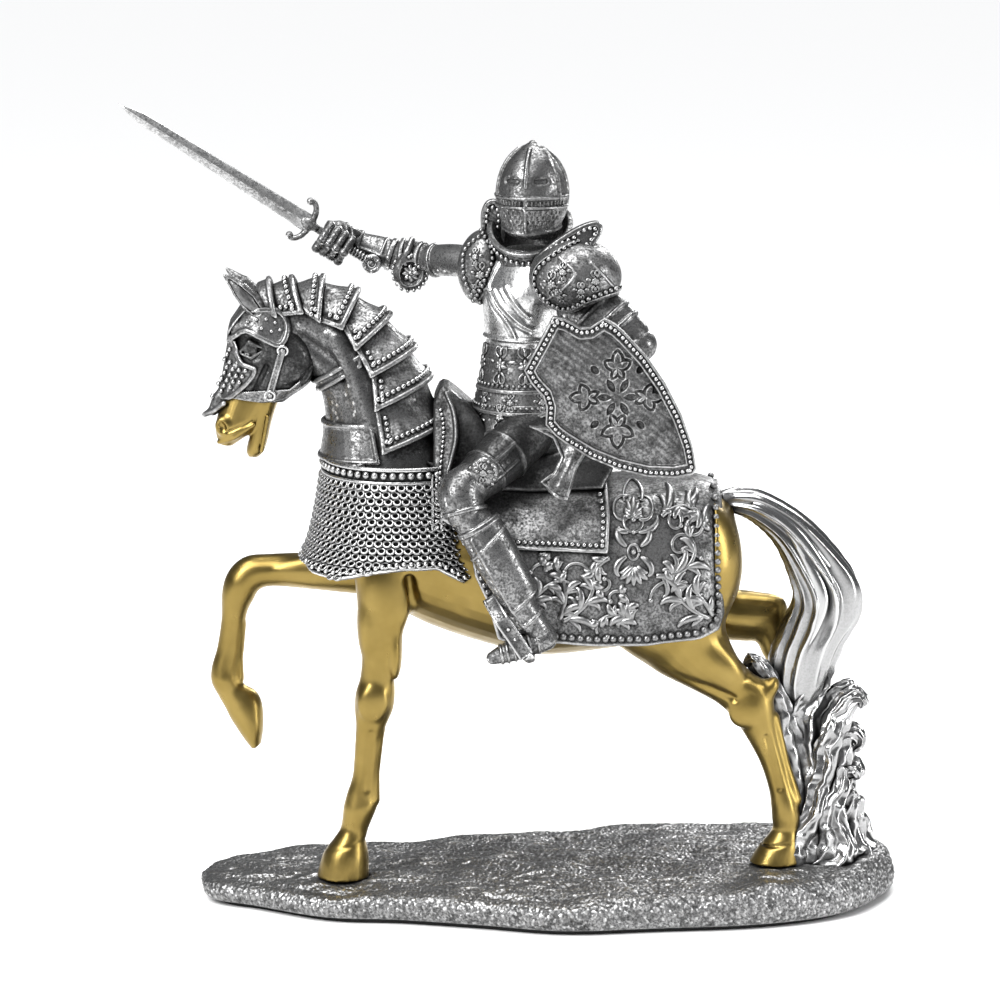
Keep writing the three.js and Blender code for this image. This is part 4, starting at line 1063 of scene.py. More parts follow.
def make_lights(scene):
    """A dim sky, a broad sun and four soft boxes."""
    world = bpy.data.worlds.new("studio")
    world.use_nodes = True
    world.node_tree.nodes["Background"].inputs["Color"].default_value = SKY_COLOUR
    world.node_tree.nodes["Background"].inputs["Strength"].default_value = SKY_POWER
    scene.world = world
    scene.view_settings.view_transform = "Standard"
    sun = bpy.data.objects.new("sun", bpy.data.lights.new("sun", "SUN"))
    sun.data.energy, sun.data.angle = SUN_POWER, math.radians(SUN_SPREAD_DEGREES)
    sun.location = (-0.4, -0.5, 1.2)
    look_at(sun, TARGET)
    scene.collection.objects.link(sun)
    for name, place, width, height, power in SOFT_BOXES:
        area_light(name, place, width, height, power)


# ---------------------------------------------------------------------------------------------
# Horse's neck and head
# ---------------------------------------------------------------------------------------------
HEAD = [
    (-97, 212, -90.5, 210, 4.4), (-100.5, 209.4, -87.6, 205, 7), (-104, 204.6, -85.4, 200, 8.8),
    (-106.6, 198, -80.6, 193, 10), (-107.4, 191, -79, 185.2, 10.2), (-108.2, 184.6, -81.4, 179.4, 9.2),
    (-109.4, 179, -87, 175.2, 7.8), (-110.2, 175.8, -90, 173, 7),
]
UPPER_LIP = [
    (-109.8, 177.4, -92.6, 174, 6.2), (-112, 170.6, -96, 168, 6.7), (-113.2, 165.6, -99, 163.6, 6.9),
    (-113.2, 161.6, -103.4, 160.8, 6), (-112, 158.4, -107.4, 158, 3.4),
]
LOWER_LIP = [
    (-99, 174, -91.6, 174.4, 5.4), (-101.4, 165.6, -94.2, 166.6, 4.9),
    (-102.4, 159.6, -95.6, 160.4, 4.6), (-103, 156, -97, 156, 3.8), (-102.4, 154, -98.8, 154, 2),
]
EYE = (-100.7, 192.3)


def neck_clay(cell=0.4):
    """The plain form of the neck, which its armour lies on too."""
    clay = Clay((-102, -26, 130), (-22, 26, 218), cell, 4.8)
    clay.add(profile(NECK, steps=5, sides=44, power=2.2))
    return clay


def make_neck(core):
    clay = core.copy()
    for side, _ in SIDES:
        # The gullet, the groove above the windpipe, and the muscle that runs down to the chest.
        clay.path(
            [(-80, side * 8, 181, 1), (-74.6, side * 11.6, 172, 1.8), (-71, side * 15, 160, 1.6)], 3,
            away=True
        )
        clay.path([(-72, side * 9.6, 196, 2), (-66, side * 11.6, 184, 3), (-60, side * 15, 168, 3.4)], 4)
        clay.path(
            [(-84, side * 8.4, 196, 1.2), (-74, side * 9.4, 188, 1.6), (-66, side * 10.6, 181, 1)], 3,
            away=True
        )
    return cast("neck_cast", clay, AGED, ["horse_neck"])


def head_clay(cell=0.32):
    """The plain form of the head, which its armour lies on too."""
    clay = Clay((-121, -15, 150), (-76, 15, 222), cell, 4)
    clay.add(profile(HEAD, steps=6, sides=44, power=2.3))
    for side, _ in SIDES:
        clay.ball((-87.6, side * 6.4, 187.4), (7.6, 4.6, 9), 2.4, lean=20)
        clay.path([(-97, side * 8, 188.4, 1.1), (-101.4, side * 6.8, 179, 0.9)], 2)
        clay.path(
            [
                (-104.6, side * 5.4, 198.6, 1.8), (-98.4, side * 8.6, 197.6, 2.2),
                (-94, side * 8.8, 194, 1.4),
            ],
            1.6
        )
    return clay


def make_head(core):
    """The head, with its eyes in lidded sockets."""
    clay = core.copy()
    for side, _ in SIDES:
        clay.ball((EYE[0], side * 10.4, EYE[1]), (4.2, 2.8, 3.8), 1.4, away=True)
        clay.ball((EYE[0], side * 7.7, EYE[1]), (2.7, 2.2, 2.5), 0.2)
        clay.path(
            [
                (-104.2, side * 8.2, 191.4, 0.5), (-101, side * 9.4, 194.8, 0.8),
                (-97.2, side * 9.2, 193, 0.5),
            ],
            0.5
        )
        clay.path(
            [
                (-104, side * 8.2, 190.6, 0.4), (-100.6, side * 9.2, 189.2, 0.6),
                (-97.2, side * 9.2, 191.4, 0.4),
            ],
            0.5
        )
        clay.path(
            [(-91, side * 9.4, 178.6, 0.7), (-84, side * 9.2, 180.6, 0.9), (-80.6, side * 8, 186, 0.5)],
            1.4, away=True
        )
        clay.path([(-95.4, side * 9.4, 186.6, 0.7), (-99.6, side * 8, 177.4, 0.6)], 1.2, away=True)
    return cast("head_cast", clay, DARK, ["horse_head"])


def make_muzzle():
    """The gold muzzle: lips parted on a bit, nostrils and a groove between the lips."""
    clay = Clay((-119, -10, 150), (-90, 10, 178), 0.28, 3.2)
    clay.add(profile(UPPER_LIP, steps=6, sides=36, power=2.2))
    clay.add(profile(LOWER_LIP, steps=6, sides=32), 1.0)
    for side, _ in SIDES:
        clay.ball((-110.4, side * 5.2, 165.4), (2.8, 2.2, 3.4), 1.2)
        clay.ball((-110.8, side * 7.2, 165.2), (1.5, 1.6, 2.3), 0.7, away=True, lean=20)
        clay.path(
            [
                (-112, side * 3.4, 159.6, 0.8), (-106.6, side * 5.8, 161.8, 1.0),
                (-100.2, side * 6.2, 166, 0.8),
            ],
            0.8
        )
        clay.path(
            [
                (-109, side * 6.6, 163.4, 0.4), (-103.4, side * 7, 166, 0.5),
                (-98.4, side * 6.4, 169.4, 0.4),
            ],
            0.7, away=True
        )
        clay.path(
            [
                (-97.6, side * 4.8, 156.8, 0.7), (-96.4, side * 5.2, 163, 0.8),
                (-95.4, side * 5.4, 168.6, 0.7),
            ],
            0.7
        )
        clay.path([(-101.6, side * 4.4, 158, 0.4), (-99.4, side * 5.4, 164.6, 0.5)], 0.6, away=True)
    clay.path([(-113.4, 0, 161.4, 0.8), (-107, 0, 158.6, 1.2), (-101.6, 0, 161.6, 1.4)], 0.8, away=True)
    points, quads = clay.mesh()
    piece("muzzle_cast", points, [quads], GOLD, ["muzzle"])


def make_ears():
    """Pricked ears, each with a dark sheet in its hollow that is painted shade."""
    for side, word in SIDES:
        clay = Clay(
            (-112, -12, 200) if side < 0 else (-112, 2, 200),
            (-90, -2, 220) if side < 0 else (-90, 12, 220), 0.22, 2.4
        )
        clay.path(
            [
                (-96.6, side * 6, 203, 3.4), (-100, side * 6.6, 207.4, 3.7),
                (-104, side * 7, 212, 2.9), (-109.2, side * 7.2, 217, 0.6),
            ],
            1.2
        )
        hollow = [
            (-98.6, side * 9.4, 205.4, 1.7), (-101.4, side * 9.6, 208.6, 2.3),
            (-104.6, side * 9.2, 212.2, 1.7), (-107.6, side * 8.2, 215.4, 0.6),
        ]
        clay.path(hollow, 0.3, away=True)
        cast(f"ear_{word}_cast", clay, AGED, [f"ear_{word}"])
        # Painted shade: a darker sheet lies in the ear's hollow.
        shade_lining = Heap()
        rows = spline(hollow, 5)
        shade_lining.rod(
            rows[:, :3] - (0, side * 0.9, 0), rows[:, 3] * 0.92,
            np.tile([0.0, side, 0.0], (len(rows), 1)), 0.62, 12
        )
        shade_lining.piece(f"ear_{word}_lining", DARK)


# ---------------------------------------------------------------------------------------------
# Horse's armour
# ---------------------------------------------------------------------------------------------
def smooth_step(value):
    """0 below 0, 1 above 1 and an even curve between."""
    t = np.clip(value, 0, 1)
    return t * t * (3 - 2 * t)


def along_line(a, b, x, z):
    """Signed distance in the side view to the line from a to b, positive to its left."""
    dx, dz = b[0] - a[0], b[1] - a[1]
    length = math.hypot(dx, dz)
    return ((z - a[1]) * dx - (x - a[0]) * dz) / length


def sheet(core, outline, inner, outer, rim=0.0, rim_width=1.6, rim_inset=0.0, steps=1, rounding=0.5):
    """A plate over a form: it lies from inner to outer above it and within a side-view outline."""
    x, _, z = core.coordinates()
    area = outline_distance(outline, x, z, steps)
    plate = core.copy()
    plate.field = smooth_max(core.field - outer, inner - core.field, rounding)
    plate.keep(area, rounding)
    if rim:
        band = np.abs(area + rim_inset + rim_width / 2) - rim_width / 2
        edge = smooth_max(core.field - outer - rim, inner - core.field, rounding)
        plate.join(smooth_max(edge, band, 0.6), 0.5)
    return plate


# Each lame's trailing edge, from the crest down to its lower corner.
LAME_CREST = [
    (-94.4, 217), (-88.4, 222), (-75, 224), (-59.6, 219), (-46.4, 208), (-37.6, 195), (-35.4, 183),
    (-35, 166.6),
]
LAME_CORNER = [
    (-91.6, 202.8), (-82.6, 204.6), (-77, 201.6), (-69.6, 199.4), (-65.3, 192.4), (-60.2, 183.6),
    (-59, 172.6), (-56.4, 158.6),
]
LAME_BEAD = 0.95


def make_lames(core):
    x, _, z = core.coordinates()
    beads = Heap()
    first = [(-99.4, 213.4), (-96.2, 204.4)]
    for i, (crest, corner) in enumerate(zip(LAME_CREST, LAME_CORNER)):
        lead_crest, lead_corner = first if i == 0 else (LAME_CREST[i - 1], LAME_CORNER[i - 1])
        outline = [lead_crest, crest, corner, lead_corner]
        area = outline_distance(outline, x, z)
        behind = along_line(corner, crest, x, z)
        below = -along_line(corner, lead_corner, x, z)
        flare = 0.9 + 2.3 * smooth_step(1 - behind / 10)
        plate = core.copy()
        plate.field = smooth_max(core.field - flare, 0.25 - core.field, 0.4)
        plate.keep(area, 0.5)
        for near in (behind, below):
            band = np.abs(near - 0.9) - 0.9
            rim = smooth_max(core.field - flare - 0.85, smooth_max(band, area, 0.5), 0.5)
            plate.join(smooth_max(rim, 0.25 - core.field, 0.3), 0.4)
        node = "poll_plate" if i == 0 else f"crinet_lame_{i}"
        surface = cast(node + "_cast", plate, PLATE if i in (1, 2) else RELIEF, [node])
        if i == 0:
            continue
        # One row of beads just inside the trailing rim, over the crest from corner to corner.
        up = np.array([crest[0] - corner[0], 0, crest[1] - corner[1]], float)
        up /= np.linalg.norm(up)
        back = np.array([up[2], 0, -up[0]])
        start = np.array([corner[0], 0, corner[1]]) - back * 3.3 + up * 2.6
        row = []
        for turn in np.linspace(-1.57, 1.57, 90):
            direction = up * math.cos(turn) + np.array([0, math.sin(turn), 0])
            found = surface.hit(start + direction * 60, -direction)
            if found is not None:
                row.append(found[0])
        if len(row) > 8:
            places = [surface.nearest(p) for p in even(row, 2.0)]
            beads.beads(places, LAME_BEAD)
        lower = np.array(lead_corner, float) - np.array(corner, float)
        length = np.linalg.norm(lower)
        lower /= length
        inward = np.array([-lower[1], lower[0]])
        if inward @ (np.array(crest) - np.array(corner)) < 0:
            inward = -inward
        for side, _ in SIDES:
            for run in np.arange(3.4, length - 1.0, 2.0):
                at = np.array(corner) + lower * run + inward * 3.2
                beads.beads([surface.side(at[0], at[1], side)], LAME_BEAD)
    beads.piece("lame_beads", CHAIN)


NECK_BAND = [(-88, 166.4), (-88, 154), (-57, 155), (-59.6, 168.4)]
THROAT_BAND = [(-84, 178.6), (-83.4, 173.6), (-63, 187), (-63.6, 191.6)]


def make_neck_bands(core):
    """The plain bands at the throat and at the foot of the neck."""
    for node, outline in (("neck_band", NECK_BAND), ("throat_band", THROAT_BAND)):
        band = sheet(core, outline, 0.1, 0.9, rim=0.8, rim_width=1.5)
        cast(node + "_cast", band, PLATE if node == "neck_band" else AGED, [node])


EYE_GUARD = [
    (-108.6, 200), (-103, 206.6), (-99.8, 206.4), (-91.4, 206.2), (-87.6, 202.2), (-87.6, 197.2),
    (-90.6, 193.2), (-96.1, 195.2), (-102.2, 198), (-106.4, 195.2), (-111, 193.4),
]
NOSE_PLATE = [
    (-112, 197), (-106, 194.6), (-104.8, 190.6), (-103, 187.6), (-99, 186.4), (-99.4, 182.8),
    (-104.7, 177.1), (-110.2, 173.2), (-119, 169.4), (-116, 185),
]
FOREHEAD = [(-96, 215), (-100, 204), (-112, 196), (-114, 204), (-108, 214)]


def make_chanfron(core):
    """The face plate: an eye guard, a nose plate and a brow plate joined by a keel."""
    guard = sheet(core, EYE_GUARD, 0.15, 1.0, rim=1.0, rim_width=1.7, steps=3)
    nose = sheet(core, NOSE_PLATE, 0.15, 0.9, rim=0.9, rim_width=1.5, steps=2)
    brow = sheet(core, FOREHEAD, 0.15, 0.9)
    plate = guard.copy()
    plate.field = np.minimum(np.minimum(guard.field, nose.field), brow.field)
    # A keel down the face, and the point over the nose.
    plate.path(
        [
            (-100.4, 0, 210.2, 0.9), (-106.6, 0, 200.6, 1.1), (-108.2, 0, 192, 1.1),
            (-110.2, 0, 180, 1.2), (-112.2, 0, 172.6, 1.6),
        ],
        1.2
    )
    plate.path([(-111.4, 0, 173, 3.4), (-114.2, 0, 169.8, 1.8), (-117.4, 0, 168.2, 0.5)], 1.6)
    for side, _ in SIDES:
        plate.path(
            [(-110.2, side * 5.8, 173.2, 0.9), (-113.6, side * 2.4, 170.2, 0.8), (-117, 0, 168.4, 0.6)],
            0.8
        )
    stud_face(cast("chanfron_cast", plate, RELIEF, ["chanfron"]))


def stud_face(surface):
    """Rows of studs over the nose plate and a few round the eye guard."""
    studs = Heap()
    inside = np.array(NOSE_PLATE)
    for row, z_row in enumerate(np.arange(174.6, 196, 2.1)):
        for x_row in np.arange(-116, -98, 2.1):
            at = (x_row + (row % 2) * 1.05, z_row)
            if outline_distance(inside, np.array([at[0]]), np.array([at[1]]), 2)[0] > -2.2:
                continue
            for side, _ in SIDES:
                studs.beads([surface.side(at[0], at[1], side)], 0.85)
    for at in (
        (-98.6, 202.4), (-95.4, 202.6), (-92.4, 201.4), (-101.6, 201.4), (-97, 199.6), (-93.6, 198.6),
        (-90.8, 199)
    ):
        for side, _ in SIDES:
            studs.beads([surface.side(at[0], at[1], side)], 0.7)
    studs.piece("chanfron_studs", CHAIN)


def make_bridle(core):
    """The cheek strap and nose band, with a round buckle at each end of the strap."""
    strap = sheet(
        core, [(-91, 193), (-88.6, 193), (-94, 174), (-96.6, 174)], 0.1, 0.9, rim=0.4, rim_width=0.7
    )
    band = sheet(
        core,
        [
            (-112, 175.4), (-104.6, 177.6), (-88, 178.6), (-84, 182), (-84, 179), (-90, 174.4),
            (-96, 173.4),
        ],
        0.1, 0.8
    )
    strap.field = np.minimum(strap.field, band.field)
    cast("bridle_cast", strap, PLATE, ["bridle"])
    buckles = Heap()
    for side, _ in SIDES:
        for at in ((-94.4, 176.4), (-89.8, 192.2)):
            found = core_side(strap, at, side)
            if found is not None:
                buckles.ring(found[0], found[1], 1.7, 0.45, 18, 6)
                buckles.bead(found[0], 0.9, found[1], 0.6, FINE_BALL)
    if buckles.count:
        buckles.piece("bridle_buckles", PLATE)


def core_side(clay, at, side):
    """The outermost point of a form at a side-view place."""
    points, quads = clay.mesh()
    return Surface(points, quads).side(at[0], at[1], side)


# ---------------------------------------------------------------------------------------------
# Mail and cloths
# ---------------------------------------------------------------------------------------------
MAIL_FORM = [
    (104, -51, 0, 41, 38), (110, -51, 0, 38.6, 37), (118, -51, 0, 35, 34.4), (126, -51, 0, 31.8, 30.8),
    (138, -51, 0, 29.6, 28), (150, -51, 0, 29.2, 26.2), (156, -51, 0, 29.2, 25.6),
    (160, -51, 0, 29, 25.2),
]
MAIL_OUTLINE = [
    (-98, 155.4), (-36.6, 155.4), (-36.6, 138), (-28.4, 134), (-25.6, 118), (-29, 115.8), (-38, 121),
    (-50, 121), (-60, 119.6), (-71, 117), (-80, 117.4), (-86, 120.6), (-98, 124),
]
MAIL_TOP, MAIL_FOOT = 155.4, 115.5
MAIL_RING, MAIL_WIRE = 1.12, 0.42
MAIL_PITCH_DOWN, MAIL_PITCH_ROUND = 2.36, 2.9


def make_mail():
    """Rows of round rings over a dark backing, each row set half a ring on from the last."""
    core = Clay((-96, -38, 110), (-22, 38, 160), 0.55, 4.4)
    core.add(tower(MAIL_FORM, 90, sides=64, power=2.15))
    backing = sheet(core, MAIL_OUTLINE, -1.4, -0.25)
    surface = cast("mail_backing", backing, DARK, ["mail_peytral"])
    rings = Heap()
    outline = np.array(MAIL_OUTLINE)
    centre = np.array([-51.0, 0.0])
    for row, z in enumerate(np.arange(MAIL_TOP - 6.6, MAIL_FOOT, -MAIL_PITCH_DOWN)):
        loop = []
        for turn in np.linspace(0.0, 2 * math.pi, 260, endpoint=False):
            direction = np.array([math.cos(turn), math.sin(turn), 0.0])
            start = np.array([centre[0], centre[1], z]) + direction * 80
            found = surface.hit(start, -direction)
            inward = found is None or np.linalg.norm((found[0] - start)[:2]) > 62
            loop.append(None if inward else found)
        kept = [f for f in loop if f is not None]
        if len(kept) < 10:
            continue
        start_gap = next((i for i, f in enumerate(loop) if f is None), 0)
        ordered = [f for f in loop[start_gap:] + loop[:start_gap] if f is not None]
        line = np.array([f[0] for f in ordered])
        run = np.concatenate([[0], np.cumsum(np.linalg.norm(np.diff(line, axis=0), axis=1))])
        for at in np.arange((row % 2) * MAIL_PITCH_ROUND / 2, run[-1], MAIL_PITCH_ROUND):
            point = np.array([np.interp(at, run, line[:, i]) for i in range(3)])
            if outline_distance(outline, point[:1], point[2:3])[0] > -1.0 and abs(point[1]) > 4:
                continue
            where, normal = surface.nearest(point)
            tip = normal + np.array([0, 0, 0.55])
            level = (-normal[1], normal[0], 0)
            rings.ring(where + normal * 0.75, tip, MAIL_RING, MAIL_WIRE, 12, 6, 1.1, level)
    rings.piece("mail_rings", CHAIN)
    make_mail_border(surface, centre)


def make_mail_border(surface, centre):
    """Two rails with pearls between them along the top, a cord along the hem and a strip by the knee."""
    trim = Heap()
    for height, radius in ((MAIL_TOP - 0.2, 0.75), (MAIL_TOP - 4.6, 0.6)):
        loop = mail_loop(surface, centre, height - 0.5)
        trim.rod([p + n * 0.4 for p, n in loop], radius, [n for _, n in loop], sides=8)
    loop = mail_loop(surface, centre, MAIL_TOP - 2.6)
    for place in even(np.array([p for p, _ in loop]), 3.0):
        where, normal = surface.nearest(place)
        trim.bead(where + normal * 0.55, 1.25, template=FINE_BALL)
    for side, _ in SIDES:
        hem = []
        for px, pz in even(np.array(MAIL_OUTLINE[5:12], float), 1.2):
            found = surface.side(px, pz + 0.9, side)
            if found is not None:
                hem.append((found[0] + found[1] * 0.3, found[1]))
        if len(hem) > 3:
            trim.rod([p for p, _ in hem], 0.6, [n for _, n in hem], sides=6)
            for point, normal in hem[::2]:
                trim.bead(point + normal * 0.3 + np.array([0, 0, 1.5]), 0.85)
        # A beaded strip runs down by the knee.
        strip = [(-38.4, z_at) for z_at in np.arange(153, 133, -1.0)]
        for shift in (-1.5, 1.3):
            rail = seen_line(surface, [(x_at + shift, z_at) for x_at, z_at in strip], side, 1)
            if len(rail) > 3:
                trim.rod([p + n * 0.9 for p, n in rail], 0.5, [n for _, n in rail], sides=6)
        trim.beads([surface.side(x_at, z_at, side) for x_at, z_at in strip[::2]], 0.95)
    trim.piece("mail_border_trim", PLATE)


def mail_loop(surface, centre, z):
    """Points and normals round the chest at a height, from one side of the saddle to the other."""
    loop = []
    for turn in np.linspace(0.62, 2 * math.pi - 0.62, 200):
        direction = np.array([math.cos(turn), math.sin(turn), 0.0])
        found = surface.hit(np.array([centre[0], centre[1], z]) + direction * 80, -direction)
        if found is not None and np.dot(found[1], direction) > 0.1:
            loop.append(found)
    return loop


CAPARISON = [
    (-29, 162), (-27.4, 131), (-25.2, 119), (-21.4, 111), (-17.6, 97.8), (-14, 96.6), (3, 96.6),
    (17, 95.6), (33, 95.8), (50, 97.4), (56.6, 99.6), (58.6, 104), (58.2, 126), (57.6, 146),
    (55.4, 162),
]
BLANKET = [
    (-37.6, 164), (-38.4, 138.4), (-31.4, 134.6), (-29.4, 129.4), (-8, 128.2), (19, 127.2), (19.8, 139),
    (17.2, 164),
]


def border_beads(heap, surface, line, pitch, radius, template=None):
    """Beads along a side-view line, on both sides."""
    for side, _ in SIDES:
        for x, z in even(np.array(line, float), pitch):
            found = surface.side(x, z, side)
            if found is not None:
                heap.bead(found[0] + found[1] * radius * 0.55, radius, template=template)


def cloth_clay():
    """The rounded form both cloths lie on."""
    core = Clay((-48, -40, 92), (64, 40, 158), 0.6, 4.8)
    core.add(profile(CLOTH_FORM, steps=5, sides=72, power=2.5))
    # Soft folds hang down from the croup.
    x, _, z = core.coordinates()
    fold = 0.5 * np.sin(x * 0.33 + 0.02 * (150 - z)) * smooth_step((146 - z) / 30)
    core.field = core.field + fold.astype(np.float32)
    return core


def make_caparison(core):
    """The hind cloth, with a beaded hem and relief."""
    hind = sheet(core, CAPARISON, -1.5, -0.1, rim=0.55, rim_width=1.2, steps=1)
    surface = cast("caparison_cast", hind, FIELD, ["caparison"])
    trim = Heap()
    hem = [
        (-15, 99.4), (3, 99.2), (17, 98.2), (33, 98.4), (48.6, 99.8), (54.4, 101.8), (55.8, 106),
        (55.4, 126), (54.8, 145),
    ]
    border_beads(trim, surface, hem, 2.75, 1.15, FINE_BALL)
    border_beads(
        trim, surface, [(-26.2, 128.4), (-24.6, 122.3), (-22.4, 116.2), (-19.4, 109.4), (-16.4, 102.4)],
        2.6, 1.0
    )
    ornament_caparison(trim, surface)
    trim.piece("caparison_relief", ORNAMENT)


def make_blanket(core):
    """The plain cloth under the saddle, with a beaded edge."""
    cover = sheet(core, BLANKET, 0.15, 1.3, rim=0.7, rim_width=1.3)
    top = cast("saddle_blanket_cast", cover, FIELD, ["saddle_blanket"])
    edge = Heap()
    border_beads(
        edge, top,
        [(-35.8, 152), (-36.2, 139.6), (-29.6, 136.2), (-27.6, 131.6), (-8, 130.6), (17, 129.6)], 2.0,
        0.85
    )
    border_beads(edge, top, [(17.2, 131), (17.4, 139), (15.4, 150)], 2.0, 0.85)
    edge.piece("blanket_beads", CHAIN)


def scroll(start, heading, length, curl, samples=26):
    """A side-view line that leaves start at a heading in degrees and winds up tighter as it goes."""
    x, z = start
    angle = math.radians(heading)
    line = []
    step = length / samples
    for k in range(samples):
        line.append((x, z))
        share = k / samples
        angle += math.radians(curl) / samples * (0.35 + 2.2 * share * share)
        x, z = x + math.cos(angle) * step, z + math.sin(angle) * step
    return line


def relief_line(heap, surface, line, widest, side, shape="leaf"):
    """A raised line on the open part of the caparison."""
    row = np.array(line, float)
    clear = outline_distance(BLANKET, row[:, 0], row[:, 1]) > 1.2
    inside = outline_distance(CAPARISON, row[:, 0], row[:, 1]) < -4.2
    places = [surface.side(x, z, side) for x, z in row[clear & inside]]
    relief(heap, [p for p in places if p is not None], widest, shape)


def acanthus(heap, surface, start, heading, length, curl, side, widest=0.95):
    """A scroll with broad leaves lying back along it on both sides, ending in an eye."""
    line = scroll(start, heading, length, curl, 40)
    relief_line(heap, surface, line, widest, side, "stem")
    heap.beads([surface.side(*line[-1], side)], widest)
    for k, share in enumerate((0.06, 0.18, 0.32, 0.46, 0.6)):
        at = int(share * len(line))
        way = math.degrees(math.atan2(line[at + 1][1] - line[at][1], line[at + 1][0] - line[at][0]))
        turn = -1 if (k % 2 == 0) == (curl > 0) else 1
        reach = length * (0.36 - 0.3 * share)
        for lean, curve, size in ((22, 100, 1.3), (46, 125, 0.9)):
            leaf = scroll(line[at], way + turn * lean, reach * (1.25 - lean / 90), turn * curve, 16)
            relief_line(heap, surface, leaf, widest * size, side)


MEDALLION = (27.6, 140.4)
# Scrolls on the hind cloth: start x and z, heading, length and curl.
SCROLLS = (
    (35, 119.5, -12, 36, 400), (37, 138, 40, 28, -330), (52, 134, 110, 24, 290),
    (54, 105, 112, 31, 160), (53, 104.4, 158, 35, -200), (3, 105, 66, 29, 180), (4, 104.4, 24, 33, 230),
    (28, 103.6, 142, 22, 240), (22, 103, 40, 20, 260), (19.4, 125.4, 200, 22, 340),
    (-8, 106, 74, 27, -170), (-2, 121, 80, 12, 130),
)


def ornament_caparison(heap, surface):
    """A quatrefoil with a palmette, a boss with a fan below it, and acanthus scrolls round them."""
    x, z = MEDALLION
    for side, _ in SIDES:
        for k, (dx, dz) in enumerate(((3.4, 0), (0, 3.6), (-3.4, 0), (0, -3.6))):
            turns = np.radians(np.linspace(-118, 118, 20) + 90 * k)
            arc = [(x + dx + 3.2 * math.cos(a), z + dz + 3.4 * math.sin(a)) for a in turns]
            relief_line(heap, surface, arc, 0.72, side, "stem")
        for turn in range(-3, 4):
            size = 6.4 - abs(turn) * 0.9
            relief_line(
                heap, surface, scroll((x, z - 2.6), 90 + turn * 29, size, -turn * 20, 12), 1.0, side
            )
        for turn in range(-2, 3):
            relief_line(heap, surface, scroll((x, 122.6), -90 + turn * 21, 7, turn * 10, 12), 1.1, side)
        oval = [(x + 1.8 * math.cos(a), 127.2 + 2.4 * math.sin(a)) for a in np.linspace(0, 2 * math.pi, 20)]
        relief_line(heap, surface, oval, 0.7, side, "stem")
        for sign in (-1, 1):
            for dx, dz, lean, length, curl, widest in (
                (1.4, 133.4, -92, 10.5, 130, 1.0), (2.2, 129, -62, 8.4, 140, 1.15),
                (2.2, 125.8, -112, 9.4, -160, 1.15), (1.2, 123, -150, 5, 90, 0.9),
            ):
                leaf = scroll((x + sign * dx, dz), 90 + sign * lean, length, sign * curl, 16)
                relief_line(heap, surface, leaf, widest, side)
        for centre in ((x, 127.2), (x, z - 3.4), (x, 133.4)):
            heap.beads([surface.side(*centre, side)], 0.95)
        for start_x, start_z, heading, length, curl in SCROLLS:
            acanthus(heap, surface, (start_x, start_z), heading, length, curl, side)


# ---------------------------------------------------------------------------------------------
# Rider
# ---------------------------------------------------------------------------------------------
RIDER_YAW, HEAD_YAW = 40, 12
TORSO_AXIS, HEAD_AXIS = (-9.5, -1), (-6, -2)


def facing(yaw, turn=0.0):
    """The level direction of a figure turned by yaw, swung on by turn degrees towards its right."""
    a = math.radians(yaw + turn)
    return np.array([-math.sin(a), -math.cos(a), 0.0])


def wrap(surface, axis, yaw, line):
    """Places on a surface round an upright axis, from pairs of a turn in degrees and a height."""
    places = []
    for turn, z in line:
        direction = facing(yaw, turn)
        found = surface.hit(np.array([axis[0], axis[1], z]) + direction * 45, -direction)
        if found is not None:
            places.append(found)
    return places


def lifted(places, radius, rise=0.0):
    """Rows of x, y, z, radius for Clay.path, from places on a surface."""
    return [(*(point + normal * rise), radius) for point, normal in places]


def seen_line(surface, line, side=LEFT, steps=4):
    """Places under a smooth side-view line."""
    places = [surface.side(x, z, side) for x, z in spline(line, steps)]
    return [p for p in places if p is not None]


def bead_row(heap, surface, places, pitch, radius):
    """Beads at an even pitch along a line of places."""
    if len(places) > 1:
        line = np.array([p for p, _ in places])
        heap.beads([surface.nearest(p) for p in even(line, pitch)], radius)


def relief(heap, places, widest, shape="leaf", flat=0.75, lift=0.1):
    """A raised line: a leaf swells and ends in a point, a stem keeps most of its width."""
    if len(places) < 4:
        return
    t = np.linspace(0, 1, len(places))
    if shape == "leaf":
        radii = widest * np.sin(np.pi * np.clip(t * 0.92 + 0.06, 0, 1)) ** 0.7 + 0.12
    else:
        radii = widest * (1 - 0.45 * t)
    points = [p + n * (lift + r * 0.25) for (p, n), r in zip(places, radii)]
    heap.rod(points, radii, [n for _, n in places], flat, 8)


def chart(surface, place, up=(0, 0, 1)):
    """A flat chart held on a surface at a place: it maps u, v in mm to a place on the surface."""
    origin, normal = place
    v = np.array(up, float) - normal * float(np.dot(up, normal))
    v /= np.linalg.norm(v)
    u = np.cross(v, normal)
    return lambda p: surface.nearest(origin + u * p[0] + v * p[1])


def foliage(heap, at, size, widest=0.5, petals=6):
    """A rosette of leaves with paired scrolls above and below it, within a circle of radius size."""
    for k in range(petals):
        heading = 90 + 360 * k / petals
        relief(heap, [at(p) for p in scroll((0, 0), heading, size * 0.42, 10, 9)], widest * 1.2)
    heap.beads([at((0, 0))], widest * 1.2)
    for sign in (-1, 1):
        for flip in (-1, 1):
            start = (sign * size * 0.1, flip * size * 0.42)
            line = scroll(start, 90 * flip - sign * flip * 64, size * 1.1, sign * flip * 300, 20)
            relief(heap, [at(p) for p in line], widest, "stem")
            line = scroll(
                (sign * size * 0.42, flip * size * 0.14), 90 - sign * 62 * flip, size * 0.62,
                -sign * flip * 120, 10
            )
            relief(heap, [at(p) for p in line], widest)
    for flip in (-1, 1):
        relief(heap, [at(p) for p in scroll((0, flip * size * 0.5), 90 * flip, size * 0.5, 0, 8)], widest)


